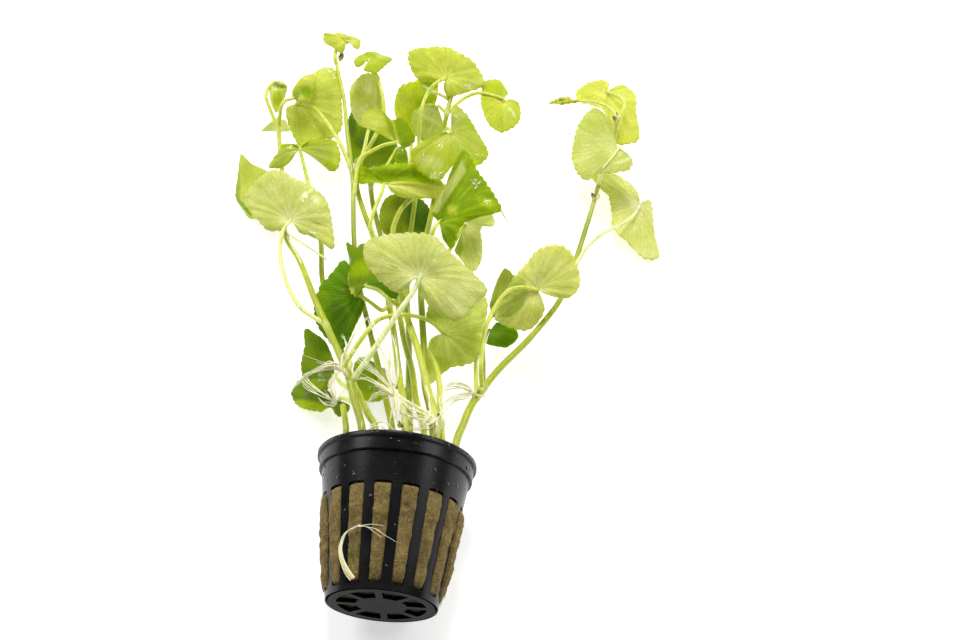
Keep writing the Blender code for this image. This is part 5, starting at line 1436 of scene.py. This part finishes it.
def shell_faces(rows, columns, first, last, openings):
    """The faces of a shell whose rows of points run along its outside and then back along its inside.

    The openings lie between the first and the last of some rows, and each is a run of columns. A row and a
    column give a point outside, and the row as far from the other end gives the point behind it.
    """
    def front(row, column):
        return row * columns + column % columns

    def behind(row, column):
        return front(rows - 1 - row, column)

    def through(start, end):
        return front(*start), behind(*start), behind(*end), front(*end)

    opened = {column for left, right in openings for column in range(left, right)}
    faces = []
    for row in range(rows - 1):
        in_openings = first <= min(row, rows - 2 - row) < last
        for c in range(columns):
            if not (in_openings and c in opened):
                faces.append((front(row, c), front(row, c + 1), front(row + 1, c + 1), front(row + 1, c)))
    for left, right in openings:
        for row in range(first, last):
            faces += [through((row, left), (row + 1, left)), through((row + 1, right), (row, right))]
        for c in range(left, right):
            faces += [through((first, c + 1), (first, c)), through((last, c), (last, c + 1))]
    return faces


def add_pot_wall(builder):
    """The tapered wall with its slots, and the collar and lip above it, as one closed shell."""
    columns = wall_columns()
    heights = [*FOOT_ROWS, *np.linspace(SLOT_BOTTOM, SLOT_TOP, SLOT_ROWS), *BAND_ROWS]
    first, last = len(FOOT_ROWS), len(FOOT_ROWS) + SLOT_ROWS - 1

    def body_row(row, inset):
        points = []
        for column in columns:
            height = max(heights[row], WALL if inset else 0)
            if row in (first, last):
                over = 1 - abs(column[1]) if column[2] == 0 else 0
                height += SLOT_ROUNDING * 0.5 * (1 - over) ** 3 * (1 if row == first else -1)
            points.append(ring_point(column_angle(column, heights[row]), body_radius(height) - inset, height))
        return points

    rows = [body_row(row, 0) for row in range(len(heights))]
    rows += [[ring_point(column_angle(column, SHOULDER), radius, height) for column in columns]
             for radius, height in collar_outline()]
    rows += [body_row(row, WALL) for row in reversed(range(len(heights)))]
    points = [point for row in rows for point in row]
    openings = runs(SLOTS, SLOT_COLUMNS, RIB_COLUMNS)
    faces = shell_faces(len(rows), len(columns), first, last, openings)
    total, inside = len(columns), len(points) - len(columns)
    faces += [(inside + c, inside + (c + 1) % total, (c + 1) % total, c) for c in range(total)]
    builder.add(in_pot(points), faces, POT_TINT)


def add_pot_base(builder):
    """The pierced base: a ring, eight spokes and a solid middle, as one closed plate."""
    near, far = BASE_HOLE_RADII
    step = 2 * math.pi / BASE_HOLES
    per_hole = HOLE_COLUMNS + SPOKE_COLUMNS
    total = BASE_HOLES * per_hole

    def angle_at(column, radius):
        hole, index = divmod(column, per_hole)
        half = step / 2 - math.asin(SPOKE_WIDTH / 2 / min(max(radius, near), far))
        middle = (hole + 0.5) * step
        if index <= HOLE_COLUMNS:
            return middle - half + 2 * half * index / HOLE_COLUMNS
        return middle + half + (step - 2 * half) * (index - HOLE_COLUMNS) / SPOKE_COLUMNS

    radii = [2.5, near - 1.0, near, near + 0.25, (near + far) / 2, far - 0.25, far, far + 1.0,
             BASE_RADIUS - WALL + BASE_OVERLAP]
    outline = [(radius, 0.0) for radius in radii] + [(radius, WALL) for radius in reversed(radii)]
    points = [ring_point(angle_at(column, radius), radius, height) for radius, height in outline
              for column in range(total)]
    openings = runs(BASE_HOLES, HOLE_COLUMNS, SPOKE_COLUMNS)
    faces = shell_faces(len(outline), total, radii.index(near), radii.index(far), openings)
    low = len(points)
    faces += fan(low, 0, total, turned_round=True) + fan(low + 1, low - total, total)
    builder.add(in_pot(points + [(0, 0, 0), (0, 0, WALL)]), faces, POT_TINT, 2)


def drop_shape():
    """The points and faces of a round drop with a radius of one."""
    columns, rows, tip = 10, 6, 1.2
    turns, tilts = np.linspace(0, 2 * math.pi, columns, endpoint=False), np.linspace(-tip, tip, rows)
    around, up = np.meshgrid(turns, tilts)
    ball = np.stack([np.cos(up) * np.cos(around), np.cos(up) * np.sin(around), np.sin(up)], axis=2)
    low, high = range(columns), range((rows - 1) * columns, rows * columns)
    faces = grid_faces(rows, columns, closed=True) + [tuple(reversed(low)), tuple(high)]
    return ball.reshape(-1, 3), faces


def add_drops(builder):
    """Drops of water on the collar, the lip and the ribs: low domes set a little way into the plastic."""
    draw = random.Random(DROP_SEED)
    ball, faces = drop_shape()
    for _ in range(DROPS):
        degrees = draw.uniform(-DROP_REACH, DROP_REACH)
        height = draw.choice([draw.uniform(*band) for band in DROP_BANDS])
        if height < SLOT_TOP:
            step = 360 / SLOTS
            first_slot = math.degrees(slot_turn(0) + math.pi / 2)
            degrees = first_slot + step * (round(degrees / step) + 0.5) + draw.uniform(-2, 2)
        if height < SHOULDER:
            radius = body_radius(height)
        else:
            radius = COLLAR_RADIUS if height < LIP_BOTTOM else RIM_RADIUS
        size = draw.uniform(*DROP_RADII)
        angle = math.radians(degrees)
        out = np.array((math.sin(angle), -math.cos(angle), 0.0))
        aside = np.array((math.cos(angle), math.sin(angle), 0.0))
        along = np.array((0.0, 0.0, 1.0))
        shape = ball * (size, size * draw.uniform(0.9, 1.4), size * 0.55)
        points = out * radius + along * height + shape @ np.stack([aside, along, out])
        builder.add(in_pot(points), faces, POT_TINT, 1)


def make_pot(kinds):
    """The net pot with the water on it."""
    builder = Builder()
    add_pot_wall(builder)
    add_pot_base(builder)
    add_drops(builder)
    pot = builder.finish("net_pot_moulded", kinds, "net_pot")
    pot.data.set_sharp_from_angle(angle=SHARP_EDGE)
    return pot


# The rockwool


def spread_at(slot, away, height):
    """How much further than its slot the wool spreads over the rib beside it, as a share of the half slot."""
    for number, side, low, high, extra in PLUG_SPREADS:
        if number == slot and away * side > 0 and low < height < high:
            return extra * math.sin(math.pi * (height - low) / (high - low)) ** 0.6
    return 0.0


def plug_radius(angle, height):
    """How far out the wool reaches: inside the wall behind a rib, and bulging out through a slot."""
    slot, away = nearest_slot(angle)
    across = abs(away) / (slot_half_angle(height) * (1.04 + spread_at(slot, away, height)))
    up = abs(height - SLOT_MIDDLE) / (SLOT_TOP - SLOT_MIDDLE - 0.3)
    window = max(0.0, 1 - max(across, up) ** 14) ** 0.4
    behind_wall = WALL + 0.45
    bulge = PLUG_BULGES[slot] * (1 - 0.5 * across ** 2) * (1 - 0.6 * up ** 4)
    radius = body_radius(height) - behind_wall + window * (behind_wall + bulge)
    point = Vector(ring_point(angle, radius, height))
    rough = 0.5 * noise.noise(point / 3.1) + 0.28 * noise.noise(point / 1.1)
    return radius + rough * (0.25 + 0.75 * window) - 0.1


def plug_top_point(angle, share):
    """A point of the plug's uneven top, at a share of the way from its middle."""
    radius = (body_radius(PLUG_TOP) - WALL - 0.6) * share
    point = Vector(ring_point(angle, radius, PLUG_TOP))
    rise = 0.9 * noise.noise(point / 4.0) + 0.35 * noise.noise(point / 1.3)
    return (point.x, point.y, PLUG_TOP + rise - 0.2)


def wool_tints(points):
    """The wool's colour: mottled, stained in places, and darker at the bottom."""
    tints = np.tile(WOOL_TINT, (len(points), 1)) * mottled(points, 5.0, 0.22, 3.0)
    for spot, reach, stain in WOOL_STAINS:
        away = np.linalg.norm(points - beside_wall(*spot), axis=1)
        tints = mixed(tints, np.array(stain), 0.9 * np.exp(-(away / reach) ** 2))
    return tints * smooth_step(0.5, 4.5, points[:, 2])[:, None] ** 0.7


def add_loose_fibres(builder):
    """Short fibres that lie on the wool where it shows through the slots."""
    draw = random.Random(FIBRE_SEED)
    for _ in range(FIBRES):
        angle, height = draw.uniform(0, 2 * math.pi), draw.uniform(SLOT_BOTTOM + 1, SLOT_TOP - 1)
        slot, away = nearest_slot(angle)
        if abs(away) > slot_half_angle(height) * 0.72:
            continue
        heading = draw.uniform(0, math.pi)
        length = draw.uniform(*FIBRE_LENGTHS)
        course = []
        for part in np.linspace(-0.5, 0.5, 5):
            turned = angle + part * length * math.cos(heading) / body_radius(height)
            raised = height + part * length * math.sin(heading)
            radius = body_radius(raised) + PLUG_BULGES[slot] * 0.8 - 0.5 + draw.uniform(-0.1, 0.25)
            course.append(ring_point(turned, radius, raised))
        line = smooth_route(course, 3)
        points, faces, _ = tube(line, np.full(len(line), draw.uniform(*FIBRE_RADII)), 4)
        builder.add(in_pot(points), faces, WOOL_TINT * draw.uniform(*FIBRE_SHADES))


def make_rockwool(kinds):
    """The plug: one fibrous body that swells out between the ribs, with loose fibres on it."""
    builder = Builder()
    angles = np.linspace(0, 2 * math.pi, PLUG_COLUMNS, endpoint=False)
    rows = [[ring_point(angle, plug_radius(angle, height), height) for angle in angles]
            for height in np.linspace(PLUG_BOTTOM, PLUG_TOP, PLUG_ROWS)]
    rows += [[plug_top_point(angle, 1 - index / PLUG_TOP_RINGS) for angle in angles]
             for index in range(1, PLUG_TOP_RINGS)]
    points = [point for row in rows for point in row]
    top = len(points)
    faces = grid_faces(len(rows), PLUG_COLUMNS, closed=True)
    faces += fan(top, top - PLUG_COLUMNS, PLUG_COLUMNS) + fan(top + 1, 0, PLUG_COLUMNS, turned_round=True)
    points = np.array(points + [(0, 0, PLUG_TOP), (0, 0, PLUG_BOTTOM)])
    builder.add(in_pot(points), faces, wool_tints(points))
    add_loose_fibres(builder)
    return builder.finish("rockwool_fibrous", kinds, "rockwool")


# The studio


def add_floor():
    """A plain white floor, wide enough to fill every view."""
    mesh = bpy.data.meshes.new("floor")
    half = FLOOR_HALF_SIZE
    corners = [(-half, -half, 0), (half, -half, 0), (half, half, 0), (-half, half, 0)]
    mesh.from_pydata(corners, [], [(0, 1, 2, 3)])
    mesh.materials.append(floor_material())
    floor = in_scene("floor", mesh)


def add_light(name, position, diameter, watts):
    """A round soft light that faces the plant."""
    data = bpy.data.lights.new(name, "AREA")
    data.shape = "DISK"
    data.size = diameter
    data.energy = watts
    light = in_scene(name, data)
    light.location = position
    light.rotation_euler = (-Vector(position)).to_track_quat("-Z", "Y").to_euler()


def add_studio():
    """Soft light from all round, and the lights."""
    scene = bpy.context.scene
    world = bpy.data.worlds.new("studio")
    world.use_nodes = True
    background = world.node_tree.nodes["Background"]
    background.inputs["Color"].default_value = (1, 1, 1, 1)
    background.inputs["Strength"].default_value = WORLD_LIGHT
    scene.world = world
    scene.view_settings.view_transform = "Standard"
    for light in LIGHTS:
        add_light(*light)


def add_camera():
    """The photograph's camera."""
    data = bpy.data.cameras.new("camera")
    data.sensor_width = SENSOR_WIDTH
    data.lens = FOCAL_LENGTH_PIXELS * SENSOR_WIDTH / PICTURE_SIZE[0]
    camera = in_scene("camera", data)
    camera.location = (CAMERA_PLACE - SHIFT) * MM
    camera.rotation_euler = (math.pi / 2 - CAMERA_DIPS, 0, 0)
    bpy.context.scene.camera = camera


def main():
    """Builds every piece, the floor, the lights and the camera."""
    # The leaf stalks carry a faint painted glow, emitted light that keeps them bright in shade.
    leaf_kinds = [leaf_material("leaf_blade"), stem_material("leaf_stalk", rough=0.3, coat=0.25, glow=0.08)]
    stem_kinds = [stem_material("stem_skin", rough=0.3, coat=0.3)]
    # The roots carry the same faint painted glow.
    root_kinds = [stem_material("root_skin", rough=0.42, coat=0.15, softness=0.0, glow=0.08)]
    stems = {stem.name: stem for stem in STEMS}
    make_pot([plastic_material("pot_plastic_wall", shine=0.25), drop_material(),
              plastic_material("pot_plastic_base", shine=0.02)])
    make_rockwool([rockwool_material()])
    for number, stem in enumerate(STEMS):
        make_stem(stem, stem_kinds, number + STEM_SEED)
    for number, leaf in enumerate(LEAVES):
        make_leaf(leaf, stems[leaf.grows_from[0]], leaf_kinds, number + LEAF_SEED)
    for root in ROOTS:
        make_roots(root, root_kinds)
    make_root_loop(root_kinds)
    make_tip_bud(stem_kinds)
    make_runner_buds(stem_kinds)
    add_floor()
    add_studio()
    add_camera()
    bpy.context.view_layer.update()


main()
